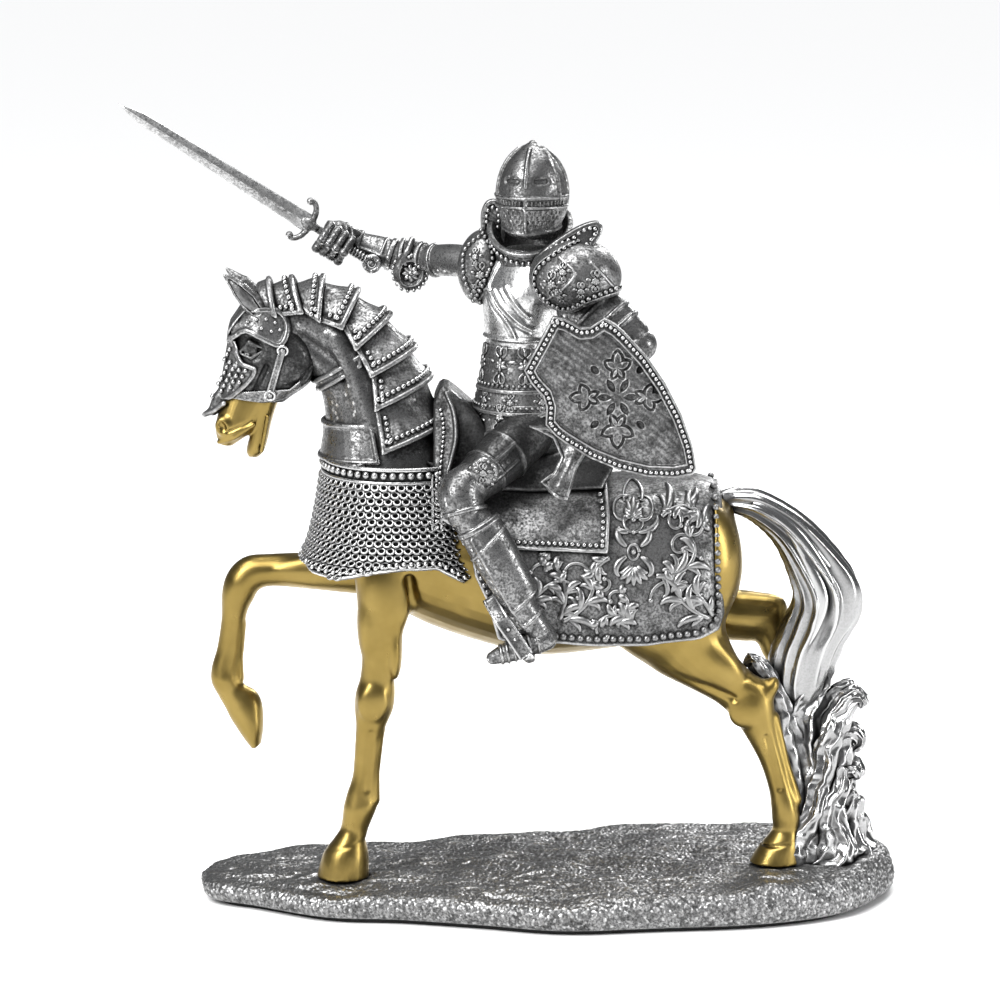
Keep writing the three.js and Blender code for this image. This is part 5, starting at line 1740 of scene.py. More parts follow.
def wedge(clay, axis, yaw, half_turn):
    """Signed distance outside the wedge in front of an upright axis."""
    x, y, _ = clay.coordinates()
    front = facing(yaw)
    ahead = (x - axis[0]) * front[0] + (y - axis[1]) * front[1]
    aside = np.abs((x - axis[0]) * front[1] - (y - axis[1]) * front[0])
    turn = math.radians(half_turn)
    return aside * math.cos(turn) - ahead * math.sin(turn)


def about(points, margin, cell, reach=0.0):
    """Clay with room for a rod through points."""
    rows = np.array(points, float)
    grow = rows[:, 3:4].max() + margin
    return Clay(rows[:, :3].min(0) - grow, rows[:, :3].max(0) + grow, cell, reach)


def band(clay, core, centre, axis, half_width, rise):
    """Raises a band round a limb, square to axis at centre."""
    x, y, z = clay.coordinates()
    a = np.array(axis, float)
    a /= np.linalg.norm(a)
    slab = np.abs((x - centre[0]) * a[0] + (y - centre[1]) * a[1] + (z - centre[2]) * a[2]) - half_width
    clay.join(smooth_max(core - rise, slab, 0.4), 0.35)


HELMET = [
    (229.4, -6.4, -2.8, 6, 7), (232, -6.3, -2.7, 7.8, 9.2), (236, -6.1, -2.5, 9.8, 11),
    (241, -6, -2.2, 11.2, 11.8), (246, -6, -1.9, 11.4, 11.6), (251, -6, -1.8, 10.3, 10.6),
    (255.4, -6, -1.8, 7.8, 8.2), (258.6, -6, -1.8, 4.2, 4.4), (260.2, -6, -1.8, 1.6, 1.8),
]
BREATHS = (
    (242.1, 4.6, 0.62, 64), (238.9, 6.5, 0.42, 60), (237.4, 6.5, 0.42, 56), (235.9, 6.5, 0.42, 48),
    (234.4, 7, 0.4, 38),
)


def make_helmet():
    """The skull of the helmet, with three ribs that meet in a knob."""
    skull = Clay((-21, -18, 226), (9, 13, 264), 0.24, 2.6)
    skull.add(tower(HELMET, HEAD_YAW, steps=6, sides=56, power=2.05))
    helmet = skull.copy()
    helmet.ball((-6, -1.8, 260.4), (1.6, 1.6, 1.5), 0.8)
    bare = Surface(*skull.mesh())
    for turn in (100, 180, 260):
        line = [(turn, z) for z in np.linspace(259.4, 236, 24)]
        helmet.path(lifted(wrap(bare, HEAD_AXIS, HEAD_YAW, line), 0.7, 0.1), 0.4)
    cast("helmet_cast", helmet, AGED, ["helmet"])
    make_visor(skull)


def make_visor(skull):
    """The closed face: ribs from the comb, two eye slits, bars and rows of breath holes."""
    z = skull.coordinates()[2]
    visor = skull.copy()
    upper = smooth_max(wedge(skull, HEAD_AXIS, HEAD_YAW, 57), 243.4 - z, 0.3)
    lower = smooth_max(wedge(skull, HEAD_AXIS, HEAD_YAW, 84), np.abs(z - 237.1) - 6.7, 0.3)
    visor.field = smooth_max(skull.field - 1.0, -0.2 - skull.field, 0.3)
    visor.field = smooth_max(visor.field, np.minimum(upper, lower), 0.3)
    outer = Surface(*visor.mesh())
    for turn in (-56, 0, 56):
        lowest = 247.6 if turn == 0 else 243.6
        line = [(turn, z_at) for z_at in np.linspace(259.2, lowest, 30)]
        visor.path(lifted(wrap(outer, HEAD_AXIS, HEAD_YAW, line), 0.72, 0.2), 0.3)
    for height, radius, rise in ((243.7, 0.62, 0.1), (240.6, 0.55, 0.1), (231.4, 0.8, 0)):
        lift_at_sides = 2.0 if height < 235 else 0.0
        line = [(turn, height + lift_at_sides * abs(turn) / 80) for turn in np.linspace(-82, 82, 50)]
        visor.path(lifted(wrap(outer, HEAD_AXIS, HEAD_YAW, line), radius, rise), 0.3)
    visor.path(
        lifted(
            wrap(outer, HEAD_AXIS, HEAD_YAW, [(0, z_at) for z_at in np.linspace(243.6, 231, 16)]), 0.6,
            0.1
        ),
        0.5
    )
    for sign in (-1, 1):
        slit = wrap(outer, HEAD_AXIS, HEAD_YAW, [(sign * turn, 249.4) for turn in np.linspace(17, 34, 8)])
        visor.path(lifted(slit, 1.6, 0.9), 0.6, away=True)
        visor.path(lifted(slit, 0.75, -0.5), 0.1, away=True)
    for height, pitch, radius, reach in BREATHS:
        for turn in np.arange(-reach + (height * 7 % pitch) / 2, reach + 1, pitch * 1.35):
            if abs(turn) > 3:
                visor.path(
                    lifted(
                        wrap(outer, HEAD_AXIS, HEAD_YAW, [(turn, height), (turn, height - 0.5)]),
                        radius, 0
                    ),
                    0.1, away=True
                )
    cast("visor_cast", visor, AGED, ["visor"])


GORGET = [
    (219.6, -7.4, -1.2, 10.2, 9.2), (224, -7.2, -1.4, 11.6, 10.8), (229, -7.3, -1.2, 12.8, 12),
    (234, -7.4, -1, 14.4, 13.2), (242, -7.6, -0.6, 16, 14.6),
]
GORGET_TOP = 232
GORGET_TILT = 0.6


def make_gorget():
    """The collar: an open ring with a rolled rim that slopes down to the front."""
    core = Clay((-26, -18, 216), (11, 16, 244), 0.3, 3)
    core.add(tower(GORGET, HEAD_YAW, steps=6, sides=56))
    x, y, z = core.coordinates()
    front = facing(HEAD_YAW)
    ahead = (x - GORGET[1][1]) * front[0] + (y - GORGET[1][2]) * front[1]
    rim = (z - GORGET_TOP + GORGET_TILT * ahead) / math.hypot(1, GORGET_TILT)
    collar = core.copy()
    collar.join(smooth_max(core.field - 0.7, np.abs(rim + 0.7) - 0.7, 0.4), 0.4)
    collar.keep(-smooth_max(core.field + 1.2, 222 - z, 0.4), 0.3)
    collar.keep(rim, 0.5)
    surface = cast("gorget_cast", collar, AGED, ["gorget"])
    trim = Heap()
    loop = []
    for turn in np.linspace(0, 360, 140, endpoint=False):
        height = GORGET_TOP - GORGET_TILT * 12.8 * math.cos(math.radians(turn)) - 2.6
        loop += wrap(surface, GORGET[1][1:3], HEAD_YAW, [(turn, height)])
    bead_row(trim, surface, loop + loop[:1], 2.0, 0.8)
    trim.piece("gorget_beads", CHAIN)


CUIRASS = [
    (187, -11.6, -1, 11, 9), (194, -11, -1, 11.4, 9.4), (202, -10, -1.2, 13.2, 10.8),
    (210, -9, -1.5, 14.6, 11.6), (217, -8, -1, 14.6, 10.6), (222, -7.6, -1, 12, 8.6),
    (225.5, -7, -1, 8, 7),
]
FLUTES = (
    [(-20.6, 212.6), (-18.6, 207.5), (-15.9, 204.1), (-13.3, 200.2), (-11.4, 196)],
    [(-18.9, 212.1), (-16.4, 207.8), (-13.2, 204.4), (-9.8, 201.4), (-6.0, 199.4)],
    [(-15, 213.6), (-12.8, 210.1), (-9.9, 206.3), (-7.2, 203.8)],
    [(-15.7, 223.4), (-17.4, 220.3), (-19.5, 216.2), (-21.1, 212.3)],
)


def make_cuirass():
    """The breast and back plates, with raised flutes that each have a groove beside them."""
    clay = Clay((-32, -22, 184), (14, 20, 228), 0.28, 3)
    clay.add(tower(CUIRASS, RIDER_YAW, steps=6, sides=60, power=2.2))
    bare = Surface(*clay.mesh())
    for line in FLUTES:
        clay.path(lifted(seen_line(bare, line), 0.55, 0.15), 0.7)
        beside = [(x_at - 1.3, z_at - 1.0) for x_at, z_at in line]
        clay.path(lifted(seen_line(bare, beside), 0.5, 0.1), 0.7, away=True)
    for turn in (120, 180, 240):
        clay.path(
            lifted(
                wrap(bare, TORSO_AXIS, RIDER_YAW, [(turn, z) for z in np.linspace(218, 192, 12)]), 0.6,
                0
            ),
            0.8
        )
    loop = wrap(bare, TORSO_AXIS, RIDER_YAW, [(turn, 195.6) for turn in np.linspace(0, 360, 80)])
    clay.path(lifted(loop, 0.8, 0.1), 0.4)
    # The breastplate takes the lighter silver, whose brightness is a painted highlight.
    cast("cuirass_cast", clay, HIGHLIT_SILVER, ["cuirass"])


FAULD = [
    (169, -10.4, -1, 16.4, 14.8), (174, -10.8, -1, 15, 13.2), (180, -11.3, -1, 13.2, 11.6),
    (188, -11.6, -1, 11.8, 10), (193, -11.4, -1, 11.4, 9.6),
]
SKIRT = [
    (154, -9, -1, 20.4, 19.4), (162, -9.5, -1, 18.6, 17.6), (168, -10.2, -1, 16.8, 15.4),
    (174, -10.6, -1, 15, 13.4),
]
HEM_START, HEM_SLOPE = (-24.5, 162.2), 0.36


def make_fauld():
    """The hip plates, with a rosette in each panel and rows of beads."""
    clay = Clay((-34, -22, 166), (14, 20, 196), 0.3, 3)
    clay.add(tower(FAULD, RIDER_YAW, steps=6, sides=60, power=2.1))
    core = clay.field.copy()
    z = clay.coordinates()[2]
    for height in (171.2, 178.4):
        clay.join(smooth_max(core - 0.9, np.abs(z - height) - 0.7, 0.5), 0.4)
    clay.keep(170 - z, 0.4)
    surface = cast("fauld_cast", clay, RELIEF, ["fauld"])
    trim = Heap()
    for turn in range(0, 360, 45):
        place = wrap(surface, TORSO_AXIS, RIDER_YAW, [(turn, 187)])
        if place:
            foliage(trim, chart(surface, place[0]), 6.2, 0.52)
        place = wrap(surface, TORSO_AXIS, RIDER_YAW, [(turn + 22, 174.8)])
        if place:
            foliage(trim, chart(surface, place[0]), 3.4, 0.42, 4)
    for height in (180.2, 173):
        loop = wrap(surface, TORSO_AXIS, RIDER_YAW, [(turn, height) for turn in np.linspace(0, 360, 90)])
        bead_row(trim, surface, loop, 1.9, 0.62)
    trim.piece("fauld_relief", ORNAMENT)


def make_skirt():
    """The pleated skirt of mail under the hip plates, with its slanting hem."""
    clay = Clay((-34, -26, 152), (16, 24, 177), 0.32, 3)
    clay.add(tower(SKIRT, RIDER_YAW, steps=6, sides=60, power=2.1))
    x, y, z = clay.coordinates()
    waves = 0.7 * np.sin(np.arctan2(y + 1, x + 9.5) * 9) * smooth_step((172 - z) / 12)
    clay.field = clay.field + waves.astype(np.float32)
    core = clay.field.copy()
    hem = (HEM_START[1] + HEM_SLOPE * (x - HEM_START[0]) - z) / math.hypot(1, HEM_SLOPE)
    clay.join(smooth_max(core - 0.9, np.abs(hem + 0.8) - 0.8, 0.4), 0.4)
    clay.keep(hem, 0.5)
    clay.keep(-smooth_max(core + 1.6, z - 168, 0.4), 0.3)
    surface = cast("skirt_cast", clay, RELIEF, ["skirt"])
    trim = Heap()
    for turn in range(-10, 350, 36):
        reach = TORSO_AXIS + facing(RIDER_YAW, turn)[:2] * 16
        height = HEM_START[1] + HEM_SLOPE * (reach[0] - HEM_START[0]) + 5.2
        if height < 171:
            place = wrap(surface, TORSO_AXIS, RIDER_YAW, [(turn, height)])
            if place:
                foliage(trim, chart(surface, place[0]), 4.4, 0.46)
    if trim.count:
        trim.piece("skirt_relief", ORNAMENT)


DRAPE = [
    (-8, 170), (-4, 168.4), (0.6, 166), (3, 160), (0.4, 155), (-3.6, 151.8), (-1, 148.8), (3.4, 146),
    (5.4, 145.6), (7, 150), (8.6, 156), (11.6, 161), (12, 168),
]


def make_drape():
    """The cloth that hangs from the hip and ends in a point."""
    clay = Clay((-12, -42, 142), (14, -20, 174), 0.3, 3)
    x, y, z = clay.coordinates()
    area = outline_distance(DRAPE, x, z)
    fold = 1.8 * np.sin((x - 0.5 * (z - 158)) * 0.62 + 0.8) * smooth_step((170 - z) / 18)
    middle = -30 - 0.22 * (168 - z) + fold
    cloth = np.abs(y - middle) * 0.8 - 0.9
    clay.join(smooth_max(cloth, area, 0.5))
    clay.join(smooth_max(cloth - 0.6, np.abs(area + 0.6) - 0.6, 0.4), 0.4)
    clay.keep(area, 0.3)
    cast("surcoat_tail_cast", clay, RELIEF, ["surcoat_tail"])


PAULDRON_EDGE = [
    (12, 232.8), (5.7, 231.6), (1.1, 229.4), (-3.1, 226.6), (-6.0, 223.8), (-7.4, 221), (-7.7, 217.6),
    (-6.8, 214), (-4, 210.8), (-1.4, 208.4),
]
PAULDRON_LOW = [
    (1.6, 206.9), (4.5, 206.4), (7.9, 207.4), (10.8, 209.4), (14.6, 211), (19.3, 212.4), (23.6, 213.4),
    (26, 218), (22, 230),
]
WING_LEFT = [
    (-6.6, 221), (-5.4, 224.6), (-2.6, 227.6), (1.1, 230.6), (5.7, 233.6), (9.5, 235.6), (12.9, 236.7),
    (15.4, 236.8), (16.9, 235.2), (16.4, 232.4), (14.2, 229.3), (13, 226), (8, 222),
]
WING_RIGHT = [
    (-24.4, 221), (-22.8, 226), (-23.4, 232), (-23.2, 237), (-21.4, 240.4), (-18.4, 241), (-16, 238.8),
    (-15.2, 232), (-15.4, 226), (-17, 221),
]


def make_left_pauldron():
    """The left shoulder: a domed guard with a lobed panel, beads, rosettes and a wing."""
    clay = Clay((-13, -36, 200), (28, -6, 240), 0.28, 3)
    clay.ball((8.4, -19.6, 218.6), (15, 12.4, 11.6))
    clay.ball((8, -16, 224), (11, 9, 6), 2.5)
    core = clay.field.copy()
    x, _, z = clay.coordinates()
    area = outline_distance(PAULDRON_EDGE + PAULDRON_LOW, x, z, 2)
    clay.keep(area, 0.5)
    clay.join(smooth_max(core - 0.9, np.abs(area + 0.8) - 0.8, 0.4), 0.4)
    # A lobed panel on the front, marked off by a raised line.
    bare = Surface(*clay.mesh())
    for line in (
        [(2.6, 226), (7.6, 221.6), (4.6, 217), (0.4, 213.4), (-2.4, 211)],
        [(13, 224.6), (17.6, 219.6), (20.6, 216)]
    ):
        clay.path(lifted(seen_line(bare, line), 0.5, 0.1), 0.4)
    surface = cast("pauldron_left_cast", clay, RELIEF, ["pauldron_left"])
    trim = Heap()
    inner = [
        (11, 231), (6.6, 229.6), (2.6, 227.6), (-0.9, 225), (-3.6, 222.4), (-5, 220), (-5.3, 217.4),
        (-4.4, 214.6), (-2.4, 212.2), (0.8, 210),
    ]
    bead_row(trim, surface, seen_line(surface, inner), 2.05, 0.85)
    low = [
        (2.2, 209.4), (4.8, 209), (7.8, 210.2), (10.4, 212), (13.8, 213.6), (17.6, 214.8), (21, 215.8),
    ]
    bead_row(trim, surface, seen_line(surface, low), 2.05, 0.85)
    for centre, size, petals in (
        ((0, 217.4), 4.4, 6), ((3.6, 221.6), 3.2, 5), ((2.6, 213.4), 2.8, 5), ((14.4, 218.6), 3.6, 6),
        ((9.6, 215.4), 3, 5)
    ):
        place = surface.side(*centre, LEFT)
        if place is not None:
            foliage(trim, chart(surface, place), size, 0.46, petals)
    trim.piece("pauldron_left_relief", ORNAMENT)
    make_wing("pauldron_left_wing", WING_LEFT, -21.4, 0.2)


def make_right_pauldron():
    """The right shoulder: a guard seen from its edge, with its standing wing."""
    clay = Clay((-34, -2, 200), (-12, 22, 236), 0.28, 3)
    clay.ball((-22.8, 7.4, 217.8), (8.6, 10, 12.8), lean=-4)
    clay.ball((-24, 14, 217.6), (6.6, 7, 8), 2)
    bare = Surface(*clay.mesh())
    edges = (
        [
            (-21.4, 230.2), (-19.3, 227.2), (-18, 224.4), (-17.8, 221.4), (-18.6, 218.4),
            (-19.8, 215.6), (-21, 213), (-22, 210.8), (-24, 207.2),
        ],
        [
            (-24, 229.4), (-28, 226.4), (-30, 223.6), (-30.4, 220.4), (-30.2, 217), (-29.4, 213.4),
            (-27.8, 210.2), (-25, 206.8),
        ],
    )
    clay.path(lifted(seen_line(bare, edges[0]), 0.7, 0.1), 0.4)
    surface = cast("pauldron_right_cast", clay, RELIEF, ["pauldron_right"])
    trim = Heap()
    for line, shift in zip(edges, (-1.9, 1.2)):
        bead_row(trim, surface, seen_line(surface, [(x_at + shift, z_at) for x_at, z_at in line]), 2.0, 0.8)
    for centre, size in (((-23.6, 216.4), 4.2), ((-25.4, 222.4), 3), ((-25.6, 210.8), 2.4)):
        place = surface.side(*centre, LEFT)
        if place is not None:
            foliage(trim, chart(surface, place), size, 0.46)
    place = surface.side(-24, 217, RIGHT)
    foliage(trim, chart(surface, place), 4.6, 0.5)
    trim.piece("pauldron_right_relief", ORNAMENT)
    make_wing("pauldron_right_wing", WING_RIGHT, 6.6, -0.1)


WING_FOOT, WING_HALF_THICK = 226, 1.1


def make_wing(name, outline, y_at, lean):
    """The standing plate of a pauldron, with a rolled edge and a row of beads inside it."""
    ring = np.array(outline)
    clay = Clay(
        (*(ring.min(0)[:1] - 3), y_at - 8, ring[:, 1].min() - 3),
        (*(ring.max(0)[:1] + 3), y_at + 8, ring[:, 1].max() + 3), 0.28, 3
    )
    x, y, z = clay.coordinates()
    middle = y_at + lean * (z - WING_FOOT) + 0.02 * (x - ring[:, 0].mean()) ** 2
    area = outline_distance(outline, x, z, 3)
    plate = np.abs(y - middle) - WING_HALF_THICK
    clay.join(smooth_max(plate, area, 0.5))
    clay.join(smooth_max(plate - 0.6, np.abs(area + 0.8) - 0.8, 0.4), 0.4)
    surface = cast(name, clay, AGED)
    trim = Heap()
    centre = ring.mean(0)
    inner = centre + (ring - centre) * (1 - 2.6 / np.linalg.norm(ring - centre, axis=1))[:, None]
    for near in SIDES:
        bead_row(trim, surface, seen_line(surface, inner[2:-2], near[0]), 2.05, 0.75)
    trim.piece(name + "_beads", CHAIN)


def make_right_upper_arm():
    """The right upper arm, held out towards the sword."""
    rows = spline([(-24, 12, 218.4, 5.2), (-33, 18.4, 218.4, 5.5), (-42, 24.6, 217.4, 5.1)], 6)
    clay = about(rows, 2, 0.3, 3)
    clay.path(rows)
    core = clay.field.copy()
    band(clay, core, rows[-3][:3], rows[-1][:3] - rows[-4][:3], 0.8, 0.7)
    cast("upper_arm_right_cast", clay, PLATE, ["upper_arm_right"])


def make_couter():
    """The right elbow's guard, with a dished rosette on its outside."""
    clay = Clay((-60, 14, 204), (-36, 38, 228), 0.28, 3)
    rows = [
        (-43.6, 25.4, 217.6, 5.3), (-46.6, 27.2, 217.4, 6.2), (-49.6, 28, 217.8, 6),
        (-52.4, 28.4, 218.2, 5),
    ]
    clay.path(rows)
    core = clay.field.copy()
    band(clay, core, rows[0][:3], (-1, 0.5, 0), 0.8, 0.9)
    band(clay, core, (-50.8, 28.2, 218), (-1, 0.1, 0.1), 0.7, 0.9)
    clay.ball((-47.4, 22.2, 213.6), (6.2, 2.8, 6.2), 0.6, yaw=10)
    clay.ball((-47.6, 20.4, 213.4), (4.2, 1.4, 4.2), 0.3, away=True)
    clay.path([(-47, 24, 224.6, 1.1), (-48.6, 21.2, 221, 1.2), (-50.8, 20.8, 217.6, 0.8)], 0.7)
    surface = cast("couter_right_cast", clay, RELIEF, ["couter_right"])
    trim = Heap()
    at = chart(surface, surface.side(-47.5, 213.4, LEFT))
    for k in range(8):
        relief(trim, [at(p) for p in scroll((0, 0), k * 45, 3.9, 16, 9)], 0.85)
    trim.beads([at((0, 0))], 1.1)
    ring = [at((5.1 * math.cos(a), 5.1 * math.sin(a))) for a in np.linspace(0, 2 * math.pi, 19)[:-1]]
    trim.beads(ring, 0.75)
    trim.piece("couter_right_rosette", CHAIN)


def make_right_forearm():
    """The right forearm, with a band at each end and a raised line."""
    rows = spline(
        [
            (-53.4, 28.7, 218.6, 4.9), (-58, 29.8, 219.9, 5), (-63, 30.4, 221.4, 4.4),
            (-67.4, 30.3, 223, 3.8),
        ],
        5
    )
    clay = about(rows, 2.5, 0.28, 3)
    clay.path(rows)
    core = clay.field.copy()
    way = rows[-1][:3] - rows[0][:3]
    for k in (1, 13):
        band(clay, core, rows[k][:3], way, 0.9, 0.8)
    band(clay, core, rows[4][:3], way, 0.4, 0.4)
    bare = Surface(*clay.mesh())
    clay.path(lifted([bare.side(x, z - 0.6, LEFT) for x, _, z, _ in rows[2:14]], 0.4, 0.1), 0.6)
    cast("forearm_right_cast", clay, PLATE, ["forearm_right"])


SWORD_HILT = np.array([-81.5, 24.0, 229.7])
SWORD_ANGLE = 32.5
ALONG = np.array([-math.cos(math.radians(SWORD_ANGLE)), 0, math.sin(math.radians(SWORD_ANGLE))])
ACROSS = np.array([math.sin(math.radians(SWORD_ANGLE)), 0, math.cos(math.radians(SWORD_ANGLE))])


def on_hilt(along, across, y=0.0):
    """A point from its distance along the blade, across it and its depth in y from it."""
    return SWORD_HILT + ALONG * along + ACROSS * across + np.array([0, y, 0])


def hilt_grid(clay):
    """Distances from the hilt over a grid: along the blade, across it and in y."""
    x, y, z = clay.coordinates()
    run = (x - SWORD_HILT[0]) * ALONG[0] + (z - SWORD_HILT[2]) * ALONG[2]
    off = (x - SWORD_HILT[0]) * ACROSS[0] + (z - SWORD_HILT[2]) * ACROSS[2]
    return run, np.abs(off), np.abs(y - SWORD_HILT[1])


def make_gauntlet():
    """The right hand in plates, closed round an empty socket for the sword."""
    clay = Clay((-92, 12, 210), (-62, 36, 236), 0.25, 3)
    # The back of the hand, the cuff and the palm.
    clay.path([(-66.6, 30.2, 222.8, 3.9), (-70.4, 29, 224.2, 3.8), (*on_hilt(-9.4, 3.2, 2.6), 3.4)], 1.0)
    clay.ball(on_hilt(-10.2, 0.4, 1.8), (5.6, 4.4, 4.6), 1.0)
    core = clay.field.copy()
    band(clay, core, (-68.6, 29.8, 223.4), (-0.94, -0.1, 0.33), 0.8, 0.8)
    band(clay, core, (-71.2, 28.8, 224.4), (-0.94, -0.1, 0.33), 0.5, 0.6)
    clay.path([(-66, 27.4, 226.4, 1.4), (-72, 25.6, 229, 1.6), (-78.4, 24.6, 230.6, 1.0)], 1.2)
    # Four fingers close round the grip from above; each is three short plates.
    for k in range(4):
        along = -5.6 - 2.85 * k
        size = 1.5 - 0.07 * k
        finger = [(3.8, -1.4), (3.4, -4.6), (0.8, -6.3), (-2.4, -6.0), (-4.6, -3.6), (-4.2, -0.6)]
        rows = [(*on_hilt(along, across, depth), size) for across, depth in finger]
        clay.path(spline(rows, 4), 0.3)
        for across, depth in ((3.7, -3.4), (-1.2, -6.7), (-4.9, -4.2)):
            clay.ball(on_hilt(along, across, depth), (size * 1.25,) * 3, 0.25)
    clay.path(
        [(*on_hilt(-9, 3.4, -1), 1.8), (*on_hilt(-6, 2.6, -2.6), 1.5), (*on_hilt(-3.9, 1.8, -3), 1.2)],
        0.6
    )
    # The socket stays open for the tang.
    run, off, aside = hilt_grid(clay)
    socket = np.maximum(off - 1.65, aside - 1.1)
    clay.keep(-np.maximum(socket, -14 - run), 0.1)
    clay.keep(run + 4.0, 0.2)
    cast("gauntlet_right_cast", clay, AGED, ["gauntlet_right"])


def make_pommel():
    """The turned end of the grip, and the beaded ring under it."""
    pommel = Heap()
    stations = np.linspace(-15.4, -22.6, 26)
    radii = 1.55 + 0.28 * np.sin(np.arange(26) * 1.5)
    pommel.rod([on_hilt(a, 0) for a in stations], radii, sides=14)
    pommel.ring(on_hilt(-24.6, -0.2), (0, 1, 0), 2.4, 1.0, 28, 12)
    pommel.bead(on_hilt(-24.6, -0.2), 1.2, (0, 1, 0), 0.6, FINE_BALL)
    for turn in range(0, 360, 60):
        a = math.radians(turn)
        place = on_hilt(-24.6 + 2.4 * math.cos(a), -0.2 + 2.4 * math.sin(a), -0.9)
        pommel.bead(place, 0.5)
    pommel.piece("sword_pommel_cast", AGED, ["sword_pommel"])


BLADE_LENGTH = 77


def make_blade():
    """A slim blade with a central ridge, tapering to a point."""
    rings = []
    for share in np.concatenate([np.linspace(0, 0.86, 20), np.linspace(0.88, 1, 8)]):
        half = 3.2 * (1 - 0.42 * share)
        if share > 0.86:
            half *= max(0.04, 1 - ((share - 0.86) / 0.14) ** 1.5)
        thick = 0.95 * (0.35 + 0.65 * min(1, half / 2.2))
        centre = on_hilt(1.2 + share * (BLADE_LENGTH - 1.2), 0)
        section = [
            (-1, 0.05), (-0.9, 0.32), (-0.16, 0.92), (0, 1), (0.16, 0.92), (0.9, 0.32), (1, 0.05),
        ]
        section += [(u, -v) for u, v in reversed(section)]
        rings.append([centre + ACROSS * u * half + np.array([0, v * thick, 0]) for u, v in section])
    points, quads, triangles = skin(np.array(rings))
    blade = Heap()
    blade.put(points, *outward(points, quads, triangles))
    obj = blade.piece("sword_blade", BLADE, ["sword"], SWORD)
    obj.data.polygons.foreach_set("use_smooth", np.zeros(len(obj.data.polygons), bool))


def make_guard():
    """The cross guard with curled ends, its boss, and the tang."""
    clay = Clay(on_hilt(0, 0) - 12, on_hilt(0, 0) + 12, 0.22, 2.4)
    for sign in (-1, 1):
        quillon = [
            (0.4, 0, 1.3), (0.5, sign * 3, 1.15), (1.2, sign * 5.4, 1.0), (3.0, sign * 7.2, 0.95),
            (4.6, sign * 6.9, 1.0),
        ]
        clay.path(spline([(*on_hilt(a, c), r) for a, c, r in quillon], 4), 0.4)
        clay.ball(on_hilt(4.4, sign * 6.8), (1.3, 1.2, 1.3), 0.3)
    clay.path([(*on_hilt(-1.6, 0), 1.5), (*on_hilt(2.6, 0), 1.5)], 0.6)
    clay.ball(on_hilt(0.8, 0), (2.4, 1.7, 2.4), 0.6)
    run, off, aside = hilt_grid(clay)
    tang = np.maximum(off - 1.3, aside - 0.75)
    clay.join(np.maximum(tang, np.maximum(-11 - run, run)))
    cast("sword_guard", clay, RELIEF, (), SWORD)


def make_left_upper_arm():
    """The left upper arm, bent back behind the shield."""
    rows = spline([(13, -17.4, 214, 5.6), (21, -20, 206, 5.8), (27, -22, 199.6, 5.6)], 6)
    clay = about(rows, 9, 0.34, 3)
    clay.path(rows)
    clay.path([(7, -15, 206.4, 5.2), (14, -17.4, 205.4, 6.2), (21, -19.6, 204, 6)], 2.0)
    core = clay.field.copy()
    for k in (3, 6, 9):
        band(clay, core, rows[k][:3], rows[-1][:3] - rows[0][:3], 0.7, 0.6)
    cast("upper_arm_left_cast", clay, AGED, ["upper_arm_left"])


def make_left_forearm():
    """The forearm and the hand that holds the shield from behind."""
    rows = spline([(29.6, -22.6, 196, 5.6), (20, -27, 190, 4.9), (10, -31.6, 184.4, 4.2)], 5)
    clay = about(rows, 6, 0.32, 3)
    clay.path(rows)
    core = clay.field.copy()
    for k in (2, 8):
        band(clay, core, rows[k][:3], rows[-1][:3] - rows[0][:3], 0.8, 0.7)
    clay.ball((31, -21.4, 196.6), (3.4, 3.4, 3.4), 1)
    clay.ball((5.4, -33, 182), (4.6, 3, 4.2), 1)
    for k in range(4):
        x_at, z_at = 2.6 + 2.1 * k, 184.4 - 1.5 * k
        clay.path(
            [
                (x_at, -30.6, z_at + 1, 1.2), (x_at - 1.4, -34.4, z_at - 0.4, 1.25),
                (x_at - 2.2, -34.6, z_at - 2.8, 1.1),
            ],
            0.25
        )
    cast("forearm_left_cast", clay, AGED, ["forearm_left"])


LEG_FORMS = {
    "left": {
        "thigh": [(-8, -12, 164, 9), (-17, -23, 157.5, 8.6), (-27, -34, 150.8, 7.2)],
        "knee": [(-27, -35.4, 151.6, 7), (-30, -38.6, 149, 7.4), (-28.4, -40.2, 143, 6.6)],
        "greave": [
            (-26, -41, 140, 6.2), (-19.4, -42.2, 128, 6.4), (-11.6, -42.2, 114, 5.3),
            (-4.6, -41.8, 103.6, 4.5),
        ],
        "foot": [
            (-1.8, -41.8, 100.4, 3.9), (-8.6, -42.2, 98, 3.9), (-14.6, -42.8, 95.8, 3.4),
            (-19.4, -43.2, 94, 2.2),
        ],
        "strap": [(-20.6, -39.6, 113.6), (-16.6, -46.2, 108), (-12, -47.4, 101.4), (-8.2, -47.6, 95.6)],
    },
    "right": {
        "thigh": [(-12, 10, 164, 9), (-21, 21, 158, 8.6), (-31, 32, 151.6, 7.2)],
        "knee": [(-31, 33.4, 152.2, 7), (-34, 36.6, 149.6, 7.4), (-32.6, 38.2, 143.4, 6.6)],
        "greave": [
            (-30.2, 39.4, 140.6, 6.2), (-23.8, 41, 128.6, 6.4), (-16.4, 41, 115, 5.3),
            (-9.8, 40.8, 104.6, 4.5),
        ],
        "foot": [
            (-7, 40.8, 101.4, 3.9), (-13.8, 41.2, 99, 3.9), (-19.8, 41.8, 96.8, 3.4),
            (-24.6, 42.2, 95, 2.2),
        ],
        "strap": [(-25.6, 38.6, 114.6), (-21.6, 45.2, 109), (-17, 46.4, 102.4), (-13.2, 46.6, 96.6)],
    },
}


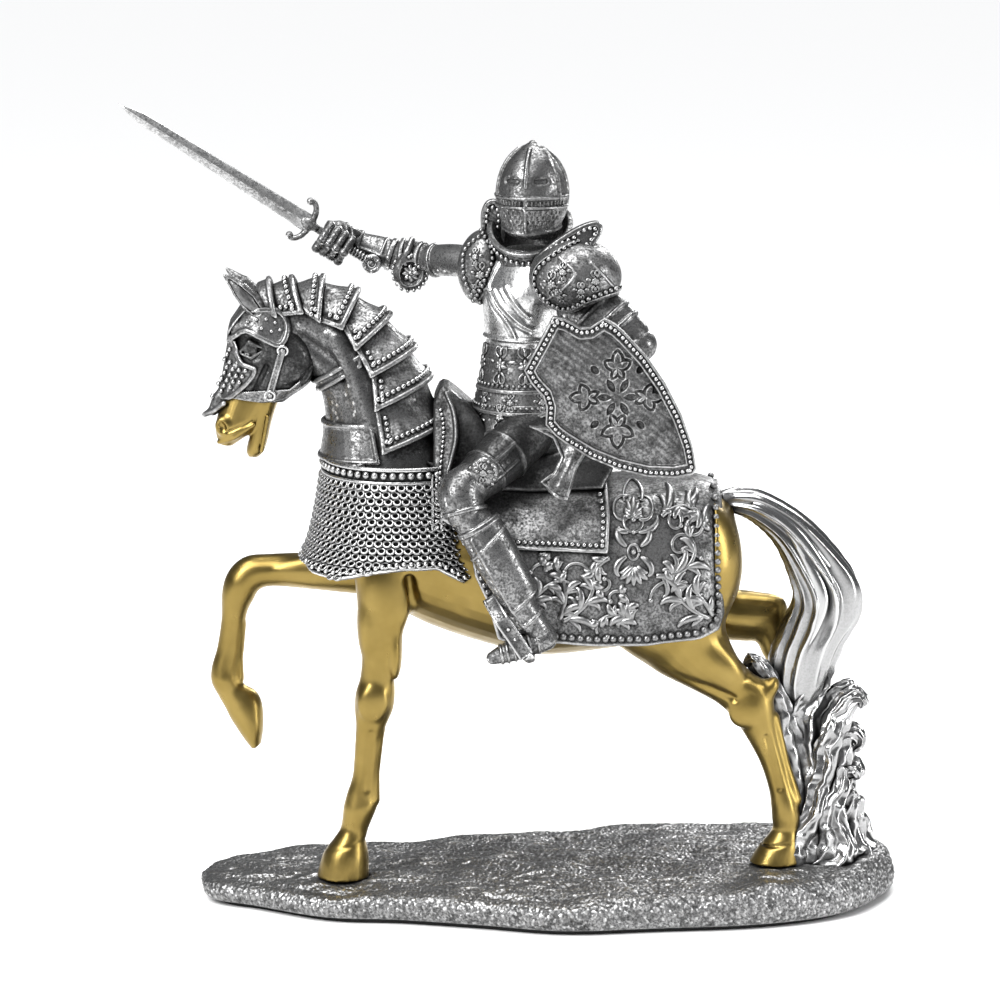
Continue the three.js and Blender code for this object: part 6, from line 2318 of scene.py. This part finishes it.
def make_thigh(side, word, forms):
    """The thigh, with two raised bands and two raised lines along it."""
    rows = spline(forms["thigh"], 6)
    clay = about(rows, 2.5, 0.34, 3)
    clay.path(rows)
    core = clay.field.copy()
    way = rows[-1][:3] - rows[0][:3]
    for k in (5, 9):
        band(clay, core, rows[k][:3], way, 0.6, 0.6)
    bare = Surface(*clay.mesh())
    for drop in (-3.6, 2.2):
        places = [bare.side(x, z + drop, side) for x, _, z, _ in rows[2:]]
        clay.path(lifted([p for p in places if p is not None], 0.6, 0.1), 0.6)
    cast(f"thigh_{word}_cast", clay, DARK, [f"thigh_{word}"])


def make_knee(side, word, forms):
    """The knee's guard, with a beaded wing on its outside."""
    rows = np.array(forms["knee"])
    clay = about(rows, 5, 0.28, 3)
    clay.path(spline(rows, 5))
    core = clay.field.copy()
    band(clay, core, rows[2][:3], rows[2][:3] - rows[1][:3], 0.7, 0.8)
    x, y, z = rows[1][:3]
    clay.ball((x + 7.6, y + side * 1.2, z + 7.4), (5.2, 2.8, 5.2), 0.6)
    clay.path(
        [(x - 5.6, y - side * 3, z + 4.4, 0.9), (x - 7, y, z - 0.6, 1.0), (x - 5, y, z - 7, 0.8)], 1.2
    )
    surface = cast(f"knee_{word}_cast", clay, PLATE, [f"knee_{word}"])
    trim = Heap()
    wing = [
        (x + 3.4, z + 9), (x + 6.6, z + 11.4), (x + 10, z + 10.4), (x + 11.4, z + 7),
        (x + 10.4, z + 3.8),
    ]
    bead_row(trim, surface, seen_line(surface, wing, side), 1.7, 0.6)
    place = surface.side(x + 7.4, z + 7.4, side)
    if place is not None:
        foliage(trim, chart(surface, place), 3.2, 0.4, 5)
    trim.piece(f"knee_{word}_relief", ORNAMENT)


def make_greave(side, word, forms):
    """The shin and calf, with bands at the top and above the ankle."""
    rows = spline(forms["greave"], 6)
    clay = about(rows, 2.5, 0.3, 3)
    clay.path(rows)
    clay.path([(x_at + 3.2, y_at, z_at + 1.6, r * 0.82) for x_at, y_at, z_at, r in rows[2:12]], 2.0)
    core = clay.field.copy()
    way = rows[-1][:3] - rows[0][:3]
    band(clay, core, rows[1][:3], way, 0.9, 0.7)
    band(clay, core, rows[4][:3] + (1.2, 0, 1.2), way + np.array([16, 0, 0]), 0.45, 0.45)
    for k in (13, 16):
        band(clay, core, rows[k][:3], way + np.array([10, 0, 0]), 0.6, 0.6)
    bare = Surface(*clay.mesh())
    ridge = [bare.side(x_at - 2.4, z_at - 1.4, side) for x_at, _, z_at, _ in rows[2:-1]]
    clay.path(lifted([p for p in ridge if p is not None], 0.5, 0.0), 1.0)
    cast(f"greave_{word}_cast", clay, PLATE, [f"greave_{word}"])


def make_sabaton(word, forms):
    """The foot in its overlapping plates; gives back the rows of its form."""
    rows = spline(forms["foot"], 5)
    clay = about(rows, 2.5, 0.26, 2.6)
    clay.path(rows)
    clay.ball(rows[4][:3] + (2, 0, 0.6), (6, 3.6, 3.2), 1.2)
    core = clay.field.copy()
    for k in range(2, len(rows) - 2, 2):
        band(clay, core, rows[k][:3], rows[-1][:3] - rows[0][:3] + np.array([0, 0, 3]), 0.45, 0.5)
    cast(f"sabaton_{word}_cast", clay, PLATE, [f"sabaton_{word}"])
    return rows


def make_stirrup(side, word, strap, foot):
    """A flat strap down the outside of the shin and a tread under the foot."""
    line = spline(strap, 6)
    ahead = np.gradient(line, axis=0)
    outer = np.array([0, side, 0.0])
    rings = []
    for point, way in zip(line, ahead):
        across = np.cross(way, outer)
        across /= np.linalg.norm(across)
        lie = np.cross(across, way)
        lie /= np.linalg.norm(lie)
        section = [
            (-2.5, -0.5), (-2.5, 0.4), (-2.0, 0.75), (-1.5, 0.45), (1.5, 0.45), (2.0, 0.75), (2.5, 0.4),
            (2.5, -0.5),
        ]
        rings.append([point + across * u + lie * v * (1 if lie @ outer > 0 else -1) for u, v in section])
    points, quads, triangles = skin(np.array(rings))
    strap_heap = Heap()
    strap_heap.put(points, *outward(points, quads, triangles))
    heel = foot[4][:3]
    under = heel[2] - foot[4][3] - 0.7
    bow = [(line[-1][0], line[-1][1], line[-1][2]), (heel[0], line[-1][1] - side * 0.6, under + 1.2)]
    bow += [(heel[0], heel[1] + side * 2.6, under), (heel[0], heel[1] - side * 4.4, under)]
    bow += [
        (heel[0] + 0.6, heel[1] - side * 5.4, under + 4.6),
        (heel[0] + 1.4, heel[1] - side * 4.6, under + 9)
    ]
    strap_heap.rod(spline(bow, 5), 1.3, np.tile([1.0, 0.0, 0.0], (26, 1)), 1.6, 10)
    for share in (0.3, 0.5, 0.7):
        point = line[int(share * (len(line) - 1))]
        strap_heap.bead(point + outer * 0.7, 0.6)
    strap_heap.piece(f"stirrup_{word}_cast", AGED, [f"stirrup_{word}"])


# ---------------------------------------------------------------------------------------------
# Saddle
# ---------------------------------------------------------------------------------------------
SADDLE = [
    (-37.4, 146), (-37.4, 168), (-38, 174), (-36.8, 177.4), (-34.4, 178.6), (-31.8, 177), (-27.6, 173),
    (-23.6, 169), (-20, 163), (-14, 158.4), (-4, 157), (4, 159.4), (9.6, 164.4), (13.4, 172),
    (15.6, 173.4), (17.6, 171.4), (18, 160), (17.6, 146),
]
SADDLE_FRONT = [
    (-39.4, 174), (-37.6, 178.6), (-34.6, 179), (-31.4, 172), (-30.6, 164), (-32.4, 157), (-34, 150),
    (-34.6, 134), (-38.4, 134), (-39.4, 160),
]


def make_saddle():
    """The saddle, with a high back and a beaded front board."""
    clay = Clay((-44, -34, 130), (22, 34, 184), 0.42, 3.4)
    x, y, z = clay.coordinates()
    area = outline_distance(SADDLE, x, z, 2)
    width = 15 - 6.5 * smooth_step((z - 160) / 24) + 6 * smooth_step((156 - z) / 14)
    clay.join(smooth_max(area, np.abs(y) - width, 3.0))
    # The front board curls round the horse's shoulders and carries the beaded band.
    board = outline_distance(SADDLE_FRONT, x, z, 2)
    shell = np.abs(y) - (9 + 17.4 * smooth_step((180 - z) / 28))
    clay.join(smooth_max(board, shell, 2.0), 1.0)
    bare = Surface(*clay.mesh())
    for side, _ in SIDES:
        line = seen_line(
            bare, [(-35, 177.4), (-32.6, 171.6), (-31.8, 164), (-33.4, 157), (-35, 150), (-35.4, 136)],
            side
        )
        clay.path(lifted(line, 0.8, 0.1), 0.5)
    surface = cast("saddle_cast", clay, DARK, ["saddle"])
    trim = Heap()
    for side, _ in SIDES:
        line = [(-37, 172), (-36, 168), (-36, 163), (-36.8, 155), (-37.2, 146), (-37.2, 135.4)]
        bead_row(trim, surface, seen_line(surface, line, side), 1.8, 0.7)
    trim.piece("saddle_beads", CHAIN)


# ---------------------------------------------------------------------------------------------
# Shield
# ---------------------------------------------------------------------------------------------
SHIELD_TOP, SHIELD_AXIS, SHIELD_SKEW, SHIELD_Y = (-4.4, 200.2), -39.5, -0.2, -39.0
SHIELD_BOW, SHIELD_HALF_WIDTH = 3.2, 20
SHIELD_FLOWER = (21.6, 182.1)
SHIELD_OUTLINE = [
    (0, 9.9), (4, 11.8), (7, 12.4), (10, 12.8), (12.6, 14.8), (14, 17.4), (15.4, 19.8), (20, 20.6),
    (24, 20.4), (34, 19), (44, 16), (54, 11.4), (62, 6), (66.8, 1.2),
]


def shield_side(along, across):
    """Side-view x and z of a point on the shield."""
    turn = math.radians(SHIELD_AXIS)
    run = along + SHIELD_SKEW * across
    x = SHIELD_TOP[0] + run * math.cos(turn) - across * math.sin(turn)
    return x, SHIELD_TOP[1] + run * math.sin(turn) + across * math.cos(turn)


def petal(u, v, centre, heading, length, width):
    """Signed distance to a leaf shape: two arcs that meet in points at its ends."""
    a = math.radians(heading)
    s = (u - centre[0]) * math.cos(a) + (v - centre[1]) * math.sin(a) - length / 2
    t = np.abs((v - centre[1]) * math.cos(a) - (u - centre[0]) * math.sin(a))
    half, wide = length / 2, width / 2
    radius = (half**2 + wide**2) / (2 * wide)
    return np.hypot(s, t + radius - wide) - radius


def fleur(u, v, centre, heading, size):
    """Three leaves and a bar, as one signed distance."""
    base = (centre[0], centre[1])
    best = petal(u, v, base, heading, size, size * 0.5)
    for sign in (-1, 1):
        best = np.minimum(best, petal(u, v, base, heading + sign * 62, size * 0.8, size * 0.42))
        best = np.minimum(best, petal(u, v, base, heading + 180 - sign * 28, size * 0.62, size * 0.24))
    return best


def make_shield():
    """The shield: bowed across, with a beaded rim and a carved face."""
    clay = Clay((-16, -48, 150), (56, -33, 216), 0.26, 2.6)
    x, y, z = clay.coordinates()
    turn = math.radians(SHIELD_AXIS)
    run = (x - SHIELD_TOP[0]) * math.cos(turn) + (z - SHIELD_TOP[1]) * math.sin(turn)
    across = -(x - SHIELD_TOP[0]) * math.sin(turn) + (z - SHIELD_TOP[1]) * math.cos(turn)
    along = run - SHIELD_SKEW * across
    outline = SHIELD_OUTLINE + [(a, -p) for a, p in reversed(SHIELD_OUTLINE)]
    area = outline_distance(outline, along, across)
    back = SHIELD_Y - SHIELD_BOW * (1 - (across / SHIELD_HALF_WIDTH) ** 2)
    thick = np.maximum(y - back, back - 1.2 - shield_level(x, z, along, across, area) - y)
    clay.join(smooth_max(thick, area, 0.35))
    bead_shield(cast("shield_cast", clay, FIELD, ["shield"]), outline)


def shield_level(x, z, along, across, area):
    """How far the shield's face stands out: cut flower, raised fleurs in moats, tooling and rim."""
    # The design stands upright on the slanting shield; u and v are from the flower's middle.
    u, v = np.broadcast_arrays(x - SHIELD_FLOWER[0], z - SHIELD_FLOWER[1])
    cut = np.full(area.shape, 9.0, np.float32)
    for k in range(6):
        heading = math.radians(60 * k)
        start = (2.1 * math.cos(heading), 2.1 * math.sin(heading))
        cut = np.minimum(cut, petal(u, v, start, 60 * k, 4.7, 2.0))
    raised = np.full(area.shape, 9.0, np.float32)
    moat = np.full(area.shape, 9.0, np.float32)
    for centre, heading, size in (
        ((0, 9.6), 90, 5.4), ((0, -10), -90, 6.6), ((9.4, 0), 0, 5.4), ((-9.8, 0), 180, 5.4)
    ):
        shape = fleur(u, v, centre, heading, size)
        raised = np.minimum(raised, shape)
        moat = np.minimum(moat, shape - 0.75)
    for su in (-1, 1):
        for sv in (-1, 1):
            heading = 90 - 45 * su if sv > 0 else -90 + 45 * su
            cut = np.minimum(cut, petal(u, v, (su * 6.4, sv * 8), heading, 3.2, 2.0))
    tooling = 0.07 * np.sin(across * 3.1 + 0.9 * np.sin(along * 0.23))
    level = 1.0 - 1.15 * smooth_step(0.5 - cut / 0.5) - 0.75 * smooth_step(0.5 - moat / 0.45)
    level = level + 0.95 * smooth_step(0.5 - raised / 0.45) + tooling
    lip = smooth_step((area + 3.9) / 0.5)
    level = level * (1 - lip) + 2.1 * lip
    inner_step = 0.4 * lip * (1 - smooth_step((area + 3.1) / 0.4))
    return level + 0.5 * smooth_step((area + 1.0) / 0.4) + inner_step


def bead_shield(surface, outline):
    """A row of beads just inside the shield's edge."""
    trim = Heap()
    ring = np.array([shield_side(a, p) for a, p in outline])
    edge = even(ring, 0.5, closed=True)
    ahead = np.roll(edge, -1, 0) - edge
    ahead /= np.linalg.norm(ahead, axis=1)[:, None]
    inward = np.stack([ahead[:, 1], -ahead[:, 0]], 1)
    centre = np.array(SHIELD_FLOWER)
    inward *= np.sign(np.einsum("ij,ij->i", inward, centre - edge))[:, None]
    for x_at, z_at in even(edge + inward * 1.7, 1.75, closed=True):
        trim.beads([surface.side(x_at, z_at, LEFT)], 0.74)
    trim.piece("shield_beads", CHAIN)


# ---------------------------------------------------------------------------------------------
# The whole statuette
# ---------------------------------------------------------------------------------------------
def make_horse():
    """The horse, its armour, its cloths and the saddle."""
    make_gold_horse()
    make_tail()
    neck = neck_clay()
    make_neck(neck)
    head = head_clay()
    make_head(head)
    make_muzzle()
    make_ears()
    make_lames(neck)
    make_neck_bands(neck)
    make_chanfron(head)
    make_bridle(head)
    make_mail()
    cloth = cloth_clay()
    make_caparison(cloth)
    make_blanket(cloth)
    make_saddle()


def make_rider():
    """The rider, the sword and the shield."""
    make_cuirass()
    make_fauld()
    make_skirt()
    make_drape()
    make_helmet()
    make_gorget()
    make_left_pauldron()
    make_right_pauldron()
    make_right_upper_arm()
    make_couter()
    make_right_forearm()
    make_gauntlet()
    make_pommel()
    make_blade()
    make_guard()
    make_left_upper_arm()
    make_left_forearm()
    for side, word in SIDES:
        forms = LEG_FORMS[word]
        make_thigh(side, word, forms)
        make_knee(side, word, forms)
        make_greave(side, word, forms)
        foot = make_sabaton(word, forms)
        make_stirrup(side, word, forms["strap"], foot)
    make_shield()


make_plinth()
make_felt()
make_hoof_pins()
make_wave()
make_horse()
make_rider()
make_camera(bpy.context.scene)
make_floor()
make_lights(bpy.context.scene)
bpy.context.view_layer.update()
